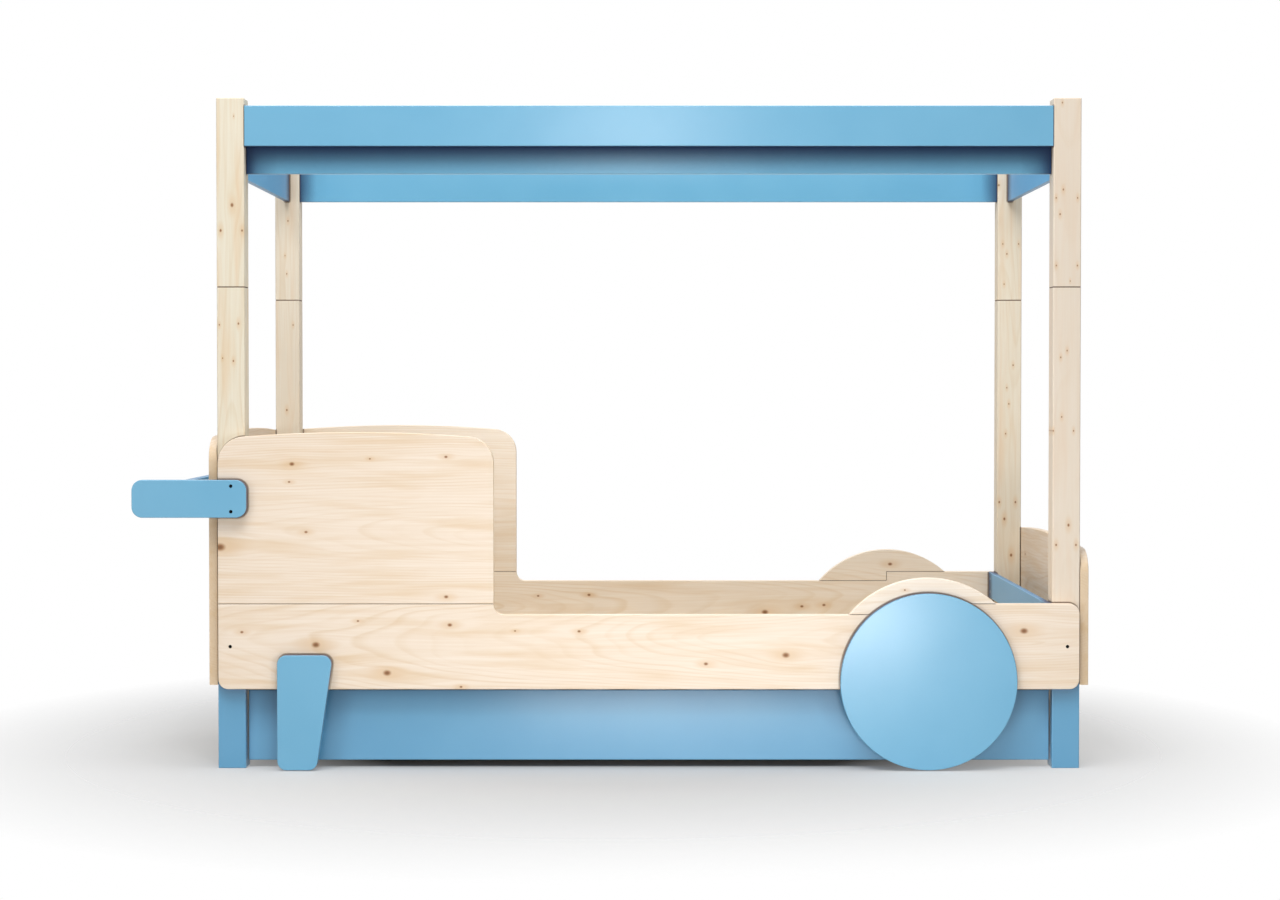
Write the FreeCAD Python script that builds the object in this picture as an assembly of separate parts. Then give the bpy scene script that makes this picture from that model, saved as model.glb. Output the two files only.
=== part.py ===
import FreeCAD, Part
import math
import os

from FreeCAD import Vector

# A child's canopy bed in the shape of a truck, with a drawer that rolls out under it.
# Millimetres. The nose points to -X, the tail to +X, the front side to -Y, and +Z is up.

# Mattress that the frame is made for
mattress_length = 2000.0
mattress_width = 900.0
mattress_end_play = 3.0
mattress_side_play = 10.0

# Boards of the frame
board_thickness = 22.0
board_edge_round = 2.0

# Posts, each a leg, a post and a post top in one line
post_width = 70.0
post_depth = 58.0
post_edge_round = 3.0
post_end_round = 2.2
leg_height = 260.0
post_joint_height = 1215.0
post_top_height = 1690.0
post_dowel_spacing = 30.0

# End rails that close the mattress space at the nose and the tail
end_rail_thickness = 15.0
end_rail_height = 76.0
end_rail_screw_shares = (0.25, 0.75)

# Side boards with the entry notch
side_board_floor_height = 203.0
side_board_height = 215.0
side_board_inset = 4.5
side_board_bolt_rise = 50.5
side_board_corner = 25.0
entry_depth = 27.0
entry_corner = 25.0
entry_step_corner = 3.0

# Hood panels standing on the nose end of the side boards
hood_length = 693.5
hood_height = 432.0
hood_crown = 17.0
hood_corner = 68.0
hood_dowel_shares = (0.2, 0.5, 0.8)

# Wheel discs, and the fenders standing on the tail end of the side boards
wheel_radius = 222.0
wheel_to_tail = 386.0
wheel_floor_gap = 2.0
fender_radius = 259.0
fender_dowel_shares = (-0.45, 0.4)

# Slanted plates under the hood
plate_height = 289.0
plate_top_width = 140.0
plate_bottom_width = 97.5
plate_corner = 23.0
plate_floor_gap = 2.0
plate_to_nose = 156.0
plate_screw_share = 0.8

# Bumper round the nose
bumper_reach = 207.0
bumper_arm_length = 287.5
bumper_arm_height = 95.0
bumper_arm_corner = 27.0
bumper_mid_height = 683.5
bumper_bolt_inset = 38.5
bumper_bolt_spacing = 64.0
bumper_board_height = 58.0
bumper_board_inset = 40.0
bumper_dowel_share = 0.25
bumper_dowel_depth = 14.0

# Boards across the nose and the tail
end_board_floor_height = 211.0
tail_board_height = 354.0
end_board_crown = 16.0
end_board_corner = 60.0
nose_bolt_shares = (0.22, 0.9)
tail_bolt_shares = (0.4, 0.82)

# Canopy frame between the post tops
canopy_top_gap = 19.0
canopy_rail_height = 169.0
canopy_rail_thickness = 15.0
canopy_rail_inset = 29.0
canopy_dowel_shares = (0.25, 0.75)
fascia_height = 102.0
fascia_screw_shares = (-0.8, -0.4, 0.0, 0.4, 0.8)

# Slat base
slat_count = 14
slat_width = 70.0
slat_thickness = 18.0
slat_end_play = 2.0
slat_edge_round = 4.0
slat_end_gap = 30.0
batten_thickness = 18.0
batten_height = 40.0
batten_rise = 9.0
batten_end_play = 2.0
batten_screw_step_count = 3

# Drawer
drawer_side_gap = 4.0
drawer_recess = 18.0
drawer_floor_gap = 18.0
drawer_top_gap = 7.0
drawer_end_thickness = 18.0
drawer_end_inset = 8.0
drawer_end_drop = 30.0
drawer_bottom_thickness = 12.0
groove_depth = 6.0
groove_play = 0.2
bearer_width = 60.0
bearer_thickness = 22.0
bearer_floor_height = 42.0
bearer_shares = (-0.82, 0.0, 0.82)
drawer_dowel_shares = (0.3, 0.75)

# Spacers that carry the front wheel disc and plate on the drawer, and their screws
pull_closing_gap = 0.3
spacer_top_gap = 12.0
spacer_floor_gap = 45.0
wheel_spacer_width = 180.0
plate_spacer_width = 60.0
pull_screw_diameter = 5.0
pull_screw_bite = 14.0
wheel_screw_shares = (-0.35, 0.35)
pull_screw_height_shares = (0.25, 0.75)

# Castors under the drawer
castor_wheel_radius = 18.0
castor_wheel_width = 16.0
castor_tread_round = 3.0
castor_hub_radius = 8.0
castor_face_dish = 2.0
castor_rim_radius = 13.0
castor_side_play = 0.6
castor_axle_diameter = 5.0
castor_running_clearance = 0.05
castor_rivet_radius = 4.5
castor_rivet_height = 1.2
castor_cheek_thickness = 2.0
castor_cheek_radius = 9.0
castor_plate_thickness = 2.5
castor_plate_length = 46.0
castor_plate_lip = 9.0
castor_place_share = 0.8

# Dowels, bolts and screws
dowel_diameter = 8.0
dowel_length = 40.0
dowel_play = 0.1
blind_end_gap = 1.0
bolt_diameter = 6.0
bolt_head_diameter = 8.4
bolt_head_height = 5.0
bolt_head_recess = 2.5
bolt_bite = 40.0
bolt_play = 0.15
screw_diameter = 4.0
screw_head_diameter = 8.0
screw_head_height = 2.6
screw_length = 30.0
screw_play = 0.1

# How far a cutting tool runs past the face that it enters, and how near counts as the same place
cut_overrun = 5.0
same_place = 0.01
full_turn = 360

# Places that follow from the sizes above
inside_x = mattress_length / 2 + mattress_end_play
post_inner_x = inside_x + end_rail_thickness
post_outer_x = post_inner_x + post_width
post_mid_x = (post_inner_x + post_outer_x) / 2
post_outer_y = mattress_width / 2 + mattress_side_play
post_inner_y = post_outer_y - post_depth
post_mid_y = (post_inner_y + post_outer_y) / 2
board_outer_y = post_outer_y + board_thickness
cladding_outer_y = board_outer_y + board_thickness
side_board_end_x = post_outer_x - side_board_inset
side_board_top = side_board_floor_height + side_board_height
side_board_mid_height = side_board_floor_height + side_board_height / 2
side_board_bolt_height = leg_height + side_board_bolt_rise
entry_height = side_board_top - entry_depth
hood_end_x = hood_length - side_board_end_x
hood_top = side_board_top + hood_height
wheel_x = post_outer_x - wheel_to_tail
wheel_z = wheel_floor_gap + wheel_radius
plate_x = plate_to_nose - post_outer_x
plate_mid_x = plate_x + plate_bottom_width / 2
bumper_tip_x = -post_outer_x - bumper_reach
bumper_arm_end_x = bumper_tip_x + bumper_arm_length
end_board_outer_x = post_outer_x + board_thickness
canopy_top = post_top_height - canopy_top_gap
canopy_bottom = canopy_top - canopy_rail_height
batten_bottom = side_board_floor_height + batten_rise
slat_bottom = batten_bottom + batten_height
slat_top = slat_bottom + slat_thickness
slat_pitch = (2 * (inside_x - slat_end_gap) - slat_width) / (slat_count - 1)
drawer_half_length = post_inner_x - drawer_side_gap
drawer_outer_y = post_outer_y - drawer_recess
drawer_inner_y = drawer_outer_y - board_thickness
drawer_top = side_board_floor_height - drawer_top_gap
drawer_end_outer_x = drawer_half_length - drawer_end_inset
drawer_end_inner_x = drawer_end_outer_x - drawer_end_thickness
drawer_end_top = drawer_top - drawer_end_drop
drawer_bottom_z = bearer_floor_height + bearer_thickness
drawer_floor_z = drawer_bottom_z + drawer_bottom_thickness
pull_inner_y = board_outer_y + pull_closing_gap
pull_outer_y = pull_inner_y + board_thickness
spacer_top = side_board_floor_height - spacer_top_gap
castor_x = max(bearer_shares) * drawer_half_length
castor_y = castor_place_share * drawer_inner_y
castor_gap_x = castor_wheel_width / 2 + castor_side_play

# The origin stands on the floor, in the middle of the whole bed
origin = Vector((bumper_tip_x + end_board_outer_x) / 2, (cladding_outer_y - pull_outer_y) / 2, 0)

along_x = Vector(1, 0, 0)
along_y = Vector(0, 1, 0)
along_z = Vector(0, 0, 1)

FRONT = -1
REAR = 1
NOSE = -1
TAIL = 1
SIDES = (("front", FRONT), ("rear", REAR))
ENDS = (("nose", NOSE), ("tail", TAIL))

nodes = {}
holes = {}


def add(name, solid):
    """Put one more solid into a node."""
    nodes.setdefault(name, []).append(solid)


def drill(cutter, *names):
    """Take a cutter out of each of the named nodes when they are finished."""
    for name in names:
        holes.setdefault(name, []).append(cutter)


def block(x_range, y_range, z_range):
    """A box between pairs of X, Y and Z places, given in either order."""
    low = Vector(min(x_range), min(y_range), min(z_range))
    high = Vector(max(x_range), max(y_range), max(z_range))
    size = high - low
    return Part.makeBox(size.x, size.y, size.z, low)


def polygon(points):
    """The straight edges of a closed outline."""
    return [Part.makeLine(a, b) for a, b in zip(points, points[1:] + points[:1])]


def arc(start, middle, end):
    return Part.Arc(start, middle, end).toShape()


def slab(edges, direction):
    """A flat board: a closed outline pushed out along a direction."""
    return Part.Face(Part.Wire(edges)).extrude(direction)


def round_corners(solid, direction, places, radius):
    """Round the edges that run along a direction through the given places."""

    def runs_through(edge, place):
        start, end = (vertex.Point for vertex in edge.Vertexes)
        off = (start - place).cross(direction).Length + (end - place).cross(direction).Length
        return off < same_place

    straight = [edge for edge in solid.Edges if len(edge.Vertexes) == 2]
    chosen = [edge for edge in straight if any(runs_through(edge, place) for place in places)]
    return solid.makeFillet(radius, chosen)


def ease(solid, direction, radius):
    """Round the rims of the two faces of a board that look along a direction."""
    flat = []
    for edge in solid.Edges:
        levels = [point.dot(direction) for point in edge.discretize(3)]
        if max(levels) - min(levels) < same_place:
            flat.append(edge)
    return solid.makeFillet(radius, flat)


def dowel(point, axis, into=dowel_length / 2):
    """A dowel across a joint face at a point, and its hole. The axis points into the second piece."""
    peg = Part.makeCylinder(dowel_diameter / 2, dowel_length, point - axis * into, axis)
    reach = into + blind_end_gap
    depth = dowel_length + 2 * blind_end_gap
    hole = Part.makeCylinder(dowel_diameter / 2 + dowel_play, depth, point - axis * reach, axis)
    return peg, hole


def join_with_dowel(group, point, axis, first, second, into=dowel_length / 2):
    peg, hole = dowel(point, axis, into)
    add(group, peg)
    drill(hole, first, second)


def join_with_bolt(group, point, axis, grip, *names):
    """A bolt sunk into the outer face at a point. It grips the boards and bites into the last piece."""
    head_at = point + axis * bolt_head_recess
    neck_at = head_at + axis * bolt_head_height
    shank = grip + bolt_bite - bolt_head_recess - bolt_head_height
    head = Part.makeCylinder(bolt_head_diameter / 2, bolt_head_height, head_at, axis)
    add(group, head.fuse(Part.makeCylinder(bolt_diameter / 2, shank, neck_at, axis)))
    mouth_depth = cut_overrun + bolt_head_recess + bolt_head_height
    mouth_at = point - axis * cut_overrun
    mouth = Part.makeCylinder(bolt_head_diameter / 2 + bolt_play, mouth_depth, mouth_at, axis)
    way = Part.makeCylinder(bolt_diameter / 2 + bolt_play, shank + blind_end_gap, neck_at, axis)
    drill(mouth.fuse(way), *names)


def countersunk(point, axis, diameter, length, play):
    """A screw with its head flush at a point, or its hole where there is some play."""
    head = Part.makeCone(
        screw_head_diameter / 2 + play, diameter / 2 + play, screw_head_height, point, axis
    )
    end_gap = blind_end_gap if play else 0
    return head.fuse(Part.makeCylinder(diameter / 2 + play, length + end_gap, point, axis))


def join_with_screw(group, point, axis, *names, diameter=screw_diameter, length=screw_length):
    add(group, countersunk(point, axis, diameter, length, 0))
    drill(countersunk(point, axis, diameter, length, screw_play), *names)


def make_posts():
    """Four posts of three lengths each, doweled end to end."""
    lengths = (
        ("leg", 0, leg_height),
        ("post", leg_height, post_joint_height),
        ("post_top", post_joint_height, post_top_height),
    )
    for side, y_sign in SIDES:
        for end, x_sign in ENDS:
            x_range = (x_sign * post_inner_x, x_sign * post_outer_x)
            y_range = (y_sign * post_inner_y, y_sign * post_outer_y)
            corners = [Vector(x, y, 0) for x in x_range for y in y_range]
            for kind, low, high in lengths:
                timber = block(x_range, y_range, (low, high))
                timber = round_corners(timber, along_z, corners, post_edge_round)
                add("%s_%s_%s" % (kind, side, end), ease(timber, along_z, post_end_round))
            for lower, upper, height in (
                ("leg", "post", leg_height),
                ("post", "post_top", post_joint_height),
            ):
                for offset in (-post_dowel_spacing / 2, post_dowel_spacing / 2):
                    place = Vector(x_sign * post_mid_x + offset, y_sign * post_mid_y, height)
                    below = "%s_%s_%s" % (lower, side, end)
                    above = "%s_%s_%s" % (upper, side, end)
                    join_with_dowel("dowels", place, along_z, below, above)


def make_side_boards():
    """Side boards outside the posts, cut down between the hood and the wheel for climbing in."""
    outline = [
        (-side_board_end_x, side_board_floor_height),
        (side_board_end_x, side_board_floor_height),
        (side_board_end_x, side_board_top),
        (wheel_x, side_board_top),
        (wheel_x, entry_height),
        (hood_end_x, entry_height),
        (hood_end_x, side_board_top),
        (-side_board_end_x, side_board_top),
    ]
    for side, y_sign in SIDES:
        name = "side_board_%s" % side
        inner = y_sign * post_outer_y
        points = [Vector(x, inner, z) for x, z in outline]
        board = slab(polygon(points), along_y * (y_sign * board_thickness))
        board = round_corners(board, along_y, points[:3], side_board_corner)
        board = round_corners(board, along_y, [points[5]], entry_corner)
        board = round_corners(board, along_y, [points[4]], entry_step_corner)
        add(name, ease(board, along_y, board_edge_round))
        for end, x_sign in ENDS:
            mouth = Vector(x_sign * post_mid_x, y_sign * board_outer_y, side_board_bolt_height)
            post = "post_%s_%s" % (side, end)
            join_with_bolt("side_board_bolts", mouth, along_y * -y_sign, board_thickness, name, post)


def make_hood_panels():
    """Arched panels that stand on the side boards at the nose."""
    start_x = -side_board_end_x
    for side, y_sign in SIDES:
        name = "hood_panel_%s" % side
        inner = y_sign * post_outer_y
        shoulder = hood_top - hood_crown
        low_nose = Vector(start_x, inner, side_board_top)
        low_tail = Vector(hood_end_x, inner, side_board_top)
        high_tail = Vector(hood_end_x, inner, shoulder)
        high_nose = Vector(start_x, inner, shoulder)
        crown = Vector((start_x + hood_end_x) / 2, inner, hood_top)
        edges = [
            Part.makeLine(low_nose, low_tail),
            Part.makeLine(low_tail, high_tail),
            arc(high_tail, crown, high_nose),
            Part.makeLine(high_nose, low_nose),
        ]
        panel = slab(edges, along_y * (y_sign * board_thickness))
        panel = round_corners(panel, along_y, [high_tail, high_nose], hood_corner)
        add(name, ease(panel, along_y, board_edge_round))
        middle = y_sign * (post_outer_y + board_thickness / 2)
        for share in hood_dowel_shares:
            place = Vector(start_x + share * hood_length, middle, side_board_top)
            join_with_dowel("dowels", place, along_z, "side_board_%s" % side, name)


def make_fenders():
    """Round fenders that follow the wheel and sit on the step of the side board."""
    reach_nose = math.sqrt(fender_radius**2 - (entry_height - wheel_z) ** 2)
    reach_tail = math.sqrt(fender_radius**2 - (side_board_top - wheel_z) ** 2)
    for side, y_sign in SIDES:
        name = "fender_%s" % side
        inner = y_sign * post_outer_y
        tip_nose = Vector(wheel_x - reach_nose, inner, entry_height)
        heel = Vector(wheel_x, inner, entry_height)
        step = Vector(wheel_x, inner, side_board_top)
        tip_tail = Vector(wheel_x + reach_tail, inner, side_board_top)
        top = Vector(wheel_x, inner, wheel_z + fender_radius)
        edges = polygon([tip_nose, heel, step, tip_tail])[:3] + [arc(tip_tail, top, tip_nose)]
        fender = slab(edges, along_y * (y_sign * board_thickness))
        fender = round_corners(fender, along_y, [heel], entry_step_corner)
        add(name, ease(fender, along_y, board_edge_round))
        middle = y_sign * (post_outer_y + board_thickness / 2)
        for share, seat in zip(fender_dowel_shares, (entry_height, side_board_top)):
            place = Vector(wheel_x + share * fender_radius, middle, seat)
            join_with_dowel("dowels", place, along_z, "side_board_%s" % side, name)


def make_end_board(name, x_sign, top, bolt_shares):
    """A board across an end of the bed, with an arched top and round shoulders."""
    inner = x_sign * post_outer_x
    shoulder = top - end_board_crown
    low_front = Vector(inner, -post_outer_y, end_board_floor_height)
    low_rear = Vector(inner, post_outer_y, end_board_floor_height)
    high_rear = Vector(inner, post_outer_y, shoulder)
    high_front = Vector(inner, -post_outer_y, shoulder)
    crown = Vector(inner, 0, top)
    edges = [
        Part.makeLine(low_front, low_rear),
        Part.makeLine(low_rear, high_rear),
        arc(high_rear, crown, high_front),
        Part.makeLine(high_front, low_front),
    ]
    board = slab(edges, along_x * (x_sign * board_thickness))
    board = round_corners(board, along_x, [high_rear, high_front], end_board_corner)
    add(name, ease(board, along_x, board_edge_round))
    end = "nose" if x_sign == NOSE else "tail"
    for side, y_sign in SIDES:
        for share in bolt_shares:
            height = end_board_floor_height + share * (top - end_board_floor_height)
            mouth = Vector(x_sign * end_board_outer_x, y_sign * post_mid_y, height)
            post = "post_%s_%s" % (side, end)
            join_with_bolt("end_board_bolts", mouth, along_x * -x_sign, board_thickness, name, post)


def make_end_rails():
    """Rails on the inner faces of the posts, level with the tops of the side boards."""
    for end, x_sign in ENDS:
        name = "end_rail_%s" % end
        rail = block(
            (x_sign * inside_x, x_sign * post_inner_x),
            (-post_outer_y, post_outer_y),
            (side_board_top - end_rail_height, side_board_top),
        )
        add(name, ease(rail, along_x, board_edge_round))
        for side, y_sign in SIDES:
            for share in end_rail_screw_shares:
                height = side_board_top - share * end_rail_height
                mouth = Vector(x_sign * inside_x, y_sign * post_mid_y, height)
                post = "post_%s_%s" % (side, end)
                join_with_screw("wood_screws", mouth, along_x * x_sign, name, post)


def make_canopy():
    """Rails between the posts all round, with a fascia outside each long rail, flush with the posts."""
    half = canopy_rail_thickness / 2
    heights = (canopy_bottom, canopy_top)
    dowel_heights = [canopy_bottom + share * canopy_rail_height for share in canopy_dowel_shares]
    for side, y_sign in SIDES:
        rail_name = "canopy_rail_%s" % side
        outer = y_sign * (post_outer_y - canopy_rail_inset)
        middle = outer - y_sign * half
        rail = block((-post_inner_x, post_inner_x), (middle - half, middle + half), heights)
        add(rail_name, ease(rail, along_y, board_edge_round))
        fascia_name = "canopy_fascia_%s" % side
        fascia_range = (outer, y_sign * post_outer_y)
        fascia = block(
            (-post_inner_x, post_inner_x), fascia_range, (canopy_top - fascia_height, canopy_top)
        )
        add(fascia_name, ease(fascia, along_y, board_edge_round))
        for share in fascia_screw_shares:
            mouth = Vector(
                share * post_inner_x, middle - y_sign * half, canopy_top - fascia_height / 2
            )
            join_with_screw("wood_screws", mouth, along_y * y_sign, rail_name, fascia_name)
        for end, x_sign in ENDS:
            for height in dowel_heights:
                place = Vector(x_sign * post_inner_x, middle, height)
                post = "post_top_%s_%s" % (side, end)
                join_with_dowel("dowels", place, along_x * x_sign, rail_name, post)
    for end, x_sign in ENDS:
        rail_name = "canopy_rail_%s" % end
        middle = x_sign * post_mid_x
        rail = block((middle - half, middle + half), (-post_inner_y, post_inner_y), heights)
        add(rail_name, ease(rail, along_x, board_edge_round))
        for side, y_sign in SIDES:
            for height in dowel_heights:
                place = Vector(middle, y_sign * post_inner_y, height)
                post = "post_top_%s_%s" % (side, end)
                join_with_dowel("dowels", place, along_y * y_sign, rail_name, post)


def make_bumper():
    """Two arms bolted through the hood panels into the nose posts, and a board between their tips."""
    low = bumper_mid_height - bumper_arm_height / 2
    high = bumper_mid_height + bumper_arm_height / 2
    board_x = bumper_tip_x + bumper_board_inset
    board_name = "bumper_board"
    board = block(
        (board_x, board_x + board_thickness),
        (-board_outer_y, board_outer_y),
        (bumper_mid_height - bumper_board_height / 2, bumper_mid_height + bumper_board_height / 2),
    )
    add(board_name, ease(board, along_x, board_edge_round))
    for side, y_sign in SIDES:
        name = "bumper_arm_%s" % side
        y_range = (y_sign * board_outer_y, y_sign * cladding_outer_y)
        arm = block((bumper_tip_x, bumper_arm_end_x), y_range, (low, high))
        corners = [Vector(x, 0, z) for x in (bumper_tip_x, bumper_arm_end_x) for z in (low, high)]
        arm = round_corners(arm, along_y, corners, bumper_arm_corner)
        add(name, ease(arm, along_y, board_edge_round))
        for offset in (-bumper_bolt_spacing / 2, bumper_bolt_spacing / 2):
            mouth = Vector(bumper_arm_end_x - bumper_bolt_inset, y_range[1], bumper_mid_height + offset)
            hood = "hood_panel_%s" % side
            post = "post_%s_nose" % side
            join_with_bolt("bumper_bolts", mouth, along_y * -y_sign, 2 * board_thickness, name, hood, post)
        for z_sign in (-1, 1):
            height = bumper_mid_height + z_sign * bumper_dowel_share * bumper_board_height
            place = Vector(board_x + board_thickness / 2, y_range[0], height)
            join_with_dowel("dowels", place, along_y * -y_sign, name, board_name, bumper_dowel_depth)


def wheel_disc(y_range):
    """A plain round disc with eased rims, standing just clear of the floor."""
    disc = Part.makeCylinder(
        wheel_radius, board_thickness, Vector(wheel_x, min(y_range), wheel_z), along_y
    )
    return ease(disc, along_y, board_edge_round)


def slanted_plate(y_range):
    """A plate with one upright edge and one slanted edge, standing just clear of the floor."""
    low = plate_floor_gap
    high = plate_floor_gap + plate_height
    outline = [
        (plate_x, low),
        (plate_x + plate_bottom_width, low),
        (plate_x + plate_top_width, high),
        (plate_x, high),
    ]
    points = [Vector(x, min(y_range), z) for x, z in outline]
    plate = slab(polygon(points), along_y * board_thickness)
    plate = round_corners(plate, along_y, points, plate_corner)
    return ease(plate, along_y, board_edge_round)


def make_rear_wheel_and_plate():
    """On the rear side the wheel disc and the plate are screwed to the side board from inside."""
    y_range = (board_outer_y, cladding_outer_y)
    add("wheel_disc_rear", wheel_disc(y_range))
    add("plate_rear", slanted_plate(y_range))
    for share in wheel_screw_shares:
        mouth = Vector(wheel_x + share * wheel_radius, post_outer_y, side_board_mid_height)
        join_with_screw("wood_screws", mouth, along_y, "side_board_rear", "wheel_disc_rear")
    plate_screw_height = plate_floor_gap + plate_screw_share * plate_height
    mouth = Vector(plate_mid_x, post_outer_y, plate_screw_height)
    join_with_screw("wood_screws", mouth, along_y, "side_board_rear", "plate_rear")


def make_slat_base():
    """Battens along the side boards, and slats lying across them."""
    for side, y_sign in SIDES:
        name = "slat_batten_%s" % side
        inner = y_sign * (post_outer_y - batten_thickness)
        end_x = post_inner_x - batten_end_play
        batten = block(
            (-end_x, end_x), (inner, y_sign * post_outer_y), (batten_bottom, slat_bottom)
        )
        add(name, ease(batten, along_x, board_edge_round))
        first_gap_x = slat_end_gap + slat_width + (slat_pitch - slat_width) / 2 - inside_x
        for gap in range(0, slat_count - 1, batten_screw_step_count):
            x = first_gap_x + gap * slat_pitch
            mouth = Vector(x, inner, batten_bottom + batten_height / 2)
            join_with_screw("wood_screws", mouth, along_y * y_sign, name, "side_board_%s" % side)
    half_length = post_outer_y - slat_end_play
    for number in range(slat_count):
        start_x = -inside_x + slat_end_gap + number * slat_pitch
        slat = block(
            (start_x, start_x + slat_width), (-half_length, half_length), (slat_bottom, slat_top)
        )
        rims = [Vector(x, 0, z) for x in (start_x, start_x + slat_width) for z in (slat_bottom, slat_top)]
        add("slats", round_corners(slat, along_y, rims, slat_edge_round))
        for side, y_sign in SIDES:
            mouth = Vector(
                start_x + slat_width / 2, y_sign * (post_outer_y - batten_thickness / 2), slat_top
            )
            join_with_screw("wood_screws", mouth, along_z * -1, "slats", "slat_batten_%s" % side)


def make_drawer_box():
    """The drawer: front and back, two ends, a bottom in grooves and bearers under it."""
    panel_x = drawer_end_inner_x + groove_depth - groove_play
    panel_y = drawer_inner_y + groove_depth - groove_play
    panel = block((-panel_x, panel_x), (-panel_y, panel_y), (drawer_bottom_z, drawer_floor_z))
    add("drawer_bottom", panel)
    groove = block(
        (-drawer_end_inner_x - groove_depth, drawer_end_inner_x + groove_depth),
        (-drawer_inner_y - groove_depth, drawer_inner_y + groove_depth),
        (drawer_bottom_z, drawer_floor_z + groove_play),
    )
    for name, y_sign in (("drawer_front", FRONT), ("drawer_back", REAR)):
        board = block(
            (-drawer_half_length, drawer_half_length),
            (y_sign * drawer_inner_y, y_sign * drawer_outer_y),
            (drawer_floor_gap, drawer_top),
        )
        add(name, ease(board, along_y, board_edge_round))
        drill(groove, name)
        for end, x_sign in ENDS:
            for share in drawer_dowel_shares:
                x = x_sign * (drawer_end_outer_x - drawer_end_thickness / 2)
                height = drawer_floor_z + share * (drawer_end_top - drawer_floor_z)
                place = Vector(x, y_sign * drawer_inner_y, height)
                outward = along_y * y_sign
                end_name = "drawer_end_%s" % end
                into = dowel_length - bumper_dowel_depth
                join_with_dowel("drawer_dowels", place, outward, end_name, name, into)
    for end, x_sign in ENDS:
        name = "drawer_end_%s" % end
        board = block(
            (x_sign * drawer_end_inner_x, x_sign * drawer_end_outer_x),
            (-drawer_inner_y, drawer_inner_y),
            (bearer_floor_height, drawer_end_top),
        )
        add(name, board)
        drill(groove, name)
    for share in bearer_shares:
        middle = share * drawer_half_length
        bearer = block(
            (middle - bearer_width / 2, middle + bearer_width / 2),
            (-drawer_inner_y, drawer_inner_y),
            (bearer_floor_height, drawer_bottom_z),
        )
        add("drawer_bearers", bearer)


def make_drawer_pulls():
    """The front wheel disc and plate, held off the drawer front by spacers, serve as its pulls."""
    y_range = (-pull_inner_y, -pull_outer_y)
    add("wheel_disc_front", wheel_disc(y_range))
    add("plate_front", slanted_plate(y_range))
    screw_length_here = pull_inner_y - drawer_inner_y + pull_screw_bite
    wheel_screws_x = [wheel_x + share * wheel_spacer_width for share in wheel_screw_shares]
    for spacer, seat, middle, width, screws_x in (
        ("wheel_spacer", "wheel_disc_front", wheel_x, wheel_spacer_width, wheel_screws_x),
        ("plate_spacer", "plate_front", plate_mid_x, plate_spacer_width, [plate_mid_x]),
    ):
        body = block(
            (middle - width / 2, middle + width / 2),
            (-drawer_outer_y, -pull_inner_y),
            (spacer_floor_gap, spacer_top),
        )
        add(spacer, body)
        for x in screws_x:
            for share in pull_screw_height_shares:
                height = spacer_floor_gap + share * (spacer_top - spacer_floor_gap)
                mouth = Vector(x, -drawer_inner_y, height)
                join_with_screw(
                    "pull_screws",
                    mouth,
                    along_y * -1,
                    "drawer_front",
                    spacer,
                    seat,
                    diameter=pull_screw_diameter,
                    length=screw_length_here,
                )


def castor_bracket(x, y):
    """A pressed bracket: a plate under the bearer and two tapered cheeks that hold the axle."""
    wheel_top_z = bearer_floor_height - castor_plate_thickness
    half_x = castor_gap_x + castor_cheek_thickness
    half_y = castor_plate_length / 2
    bracket = block(
        (x - half_x - castor_plate_lip, x + half_x + castor_plate_lip),
        (y - half_y, y + half_y),
        (wheel_top_z, bearer_floor_height),
    )
    for x_sign in (-1, 1):
        inner = x + x_sign * castor_gap_x
        push = along_x * (x_sign * castor_cheek_thickness)
        outline = [
            Vector(inner, y - half_y, wheel_top_z),
            Vector(inner, y - castor_cheek_radius, castor_wheel_radius),
            Vector(inner, y + castor_cheek_radius, castor_wheel_radius),
            Vector(inner, y + half_y, wheel_top_z),
        ]
        bottom = Vector(inner, y, castor_wheel_radius - castor_cheek_radius)
        edges = polygon(outline)
        edges[1] = arc(outline[1], bottom, outline[2])
        bracket = bracket.fuse(slab(edges, push))
    return bracket.removeSplitter()


def castor_wheel(x, y):
    """A solid wheel with a round-shouldered tread, dished faces and a hub."""
    half = castor_wheel_width / 2
    bore = castor_axle_diameter / 2 + castor_running_clearance
    profile = [
        (half, bore),
        (half, castor_hub_radius),
        (half - castor_face_dish, castor_hub_radius),
        (half - castor_face_dish, castor_rim_radius),
        (half, castor_rim_radius),
        (half, castor_wheel_radius - castor_tread_round),
        (half - castor_tread_round, castor_wheel_radius),
    ]
    mirrored = [(-u, v) for u, v in reversed(profile)]
    outline = [Vector(x + u, y, castor_wheel_radius + v) for u, v in profile + mirrored]
    centre = Vector(x, y, castor_wheel_radius)
    return Part.Face(Part.Wire(polygon(outline))).revolve(centre, along_x, full_turn)


def castor_axle(x, y):
    """A pin through both cheeks, riveted over outside them."""
    radius = castor_axle_diameter / 2
    half = castor_gap_x + castor_cheek_thickness
    left = Vector(x - half - castor_rivet_height, y, castor_wheel_radius)
    right = Vector(x + half, y, castor_wheel_radius)
    pin = Part.makeCylinder(radius, 2 * (half + castor_rivet_height), left, along_x)
    for place in (left, right):
        pin = pin.fuse(Part.makeCylinder(castor_rivet_radius, castor_rivet_height, place, along_x))
    return pin.removeSplitter()


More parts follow.
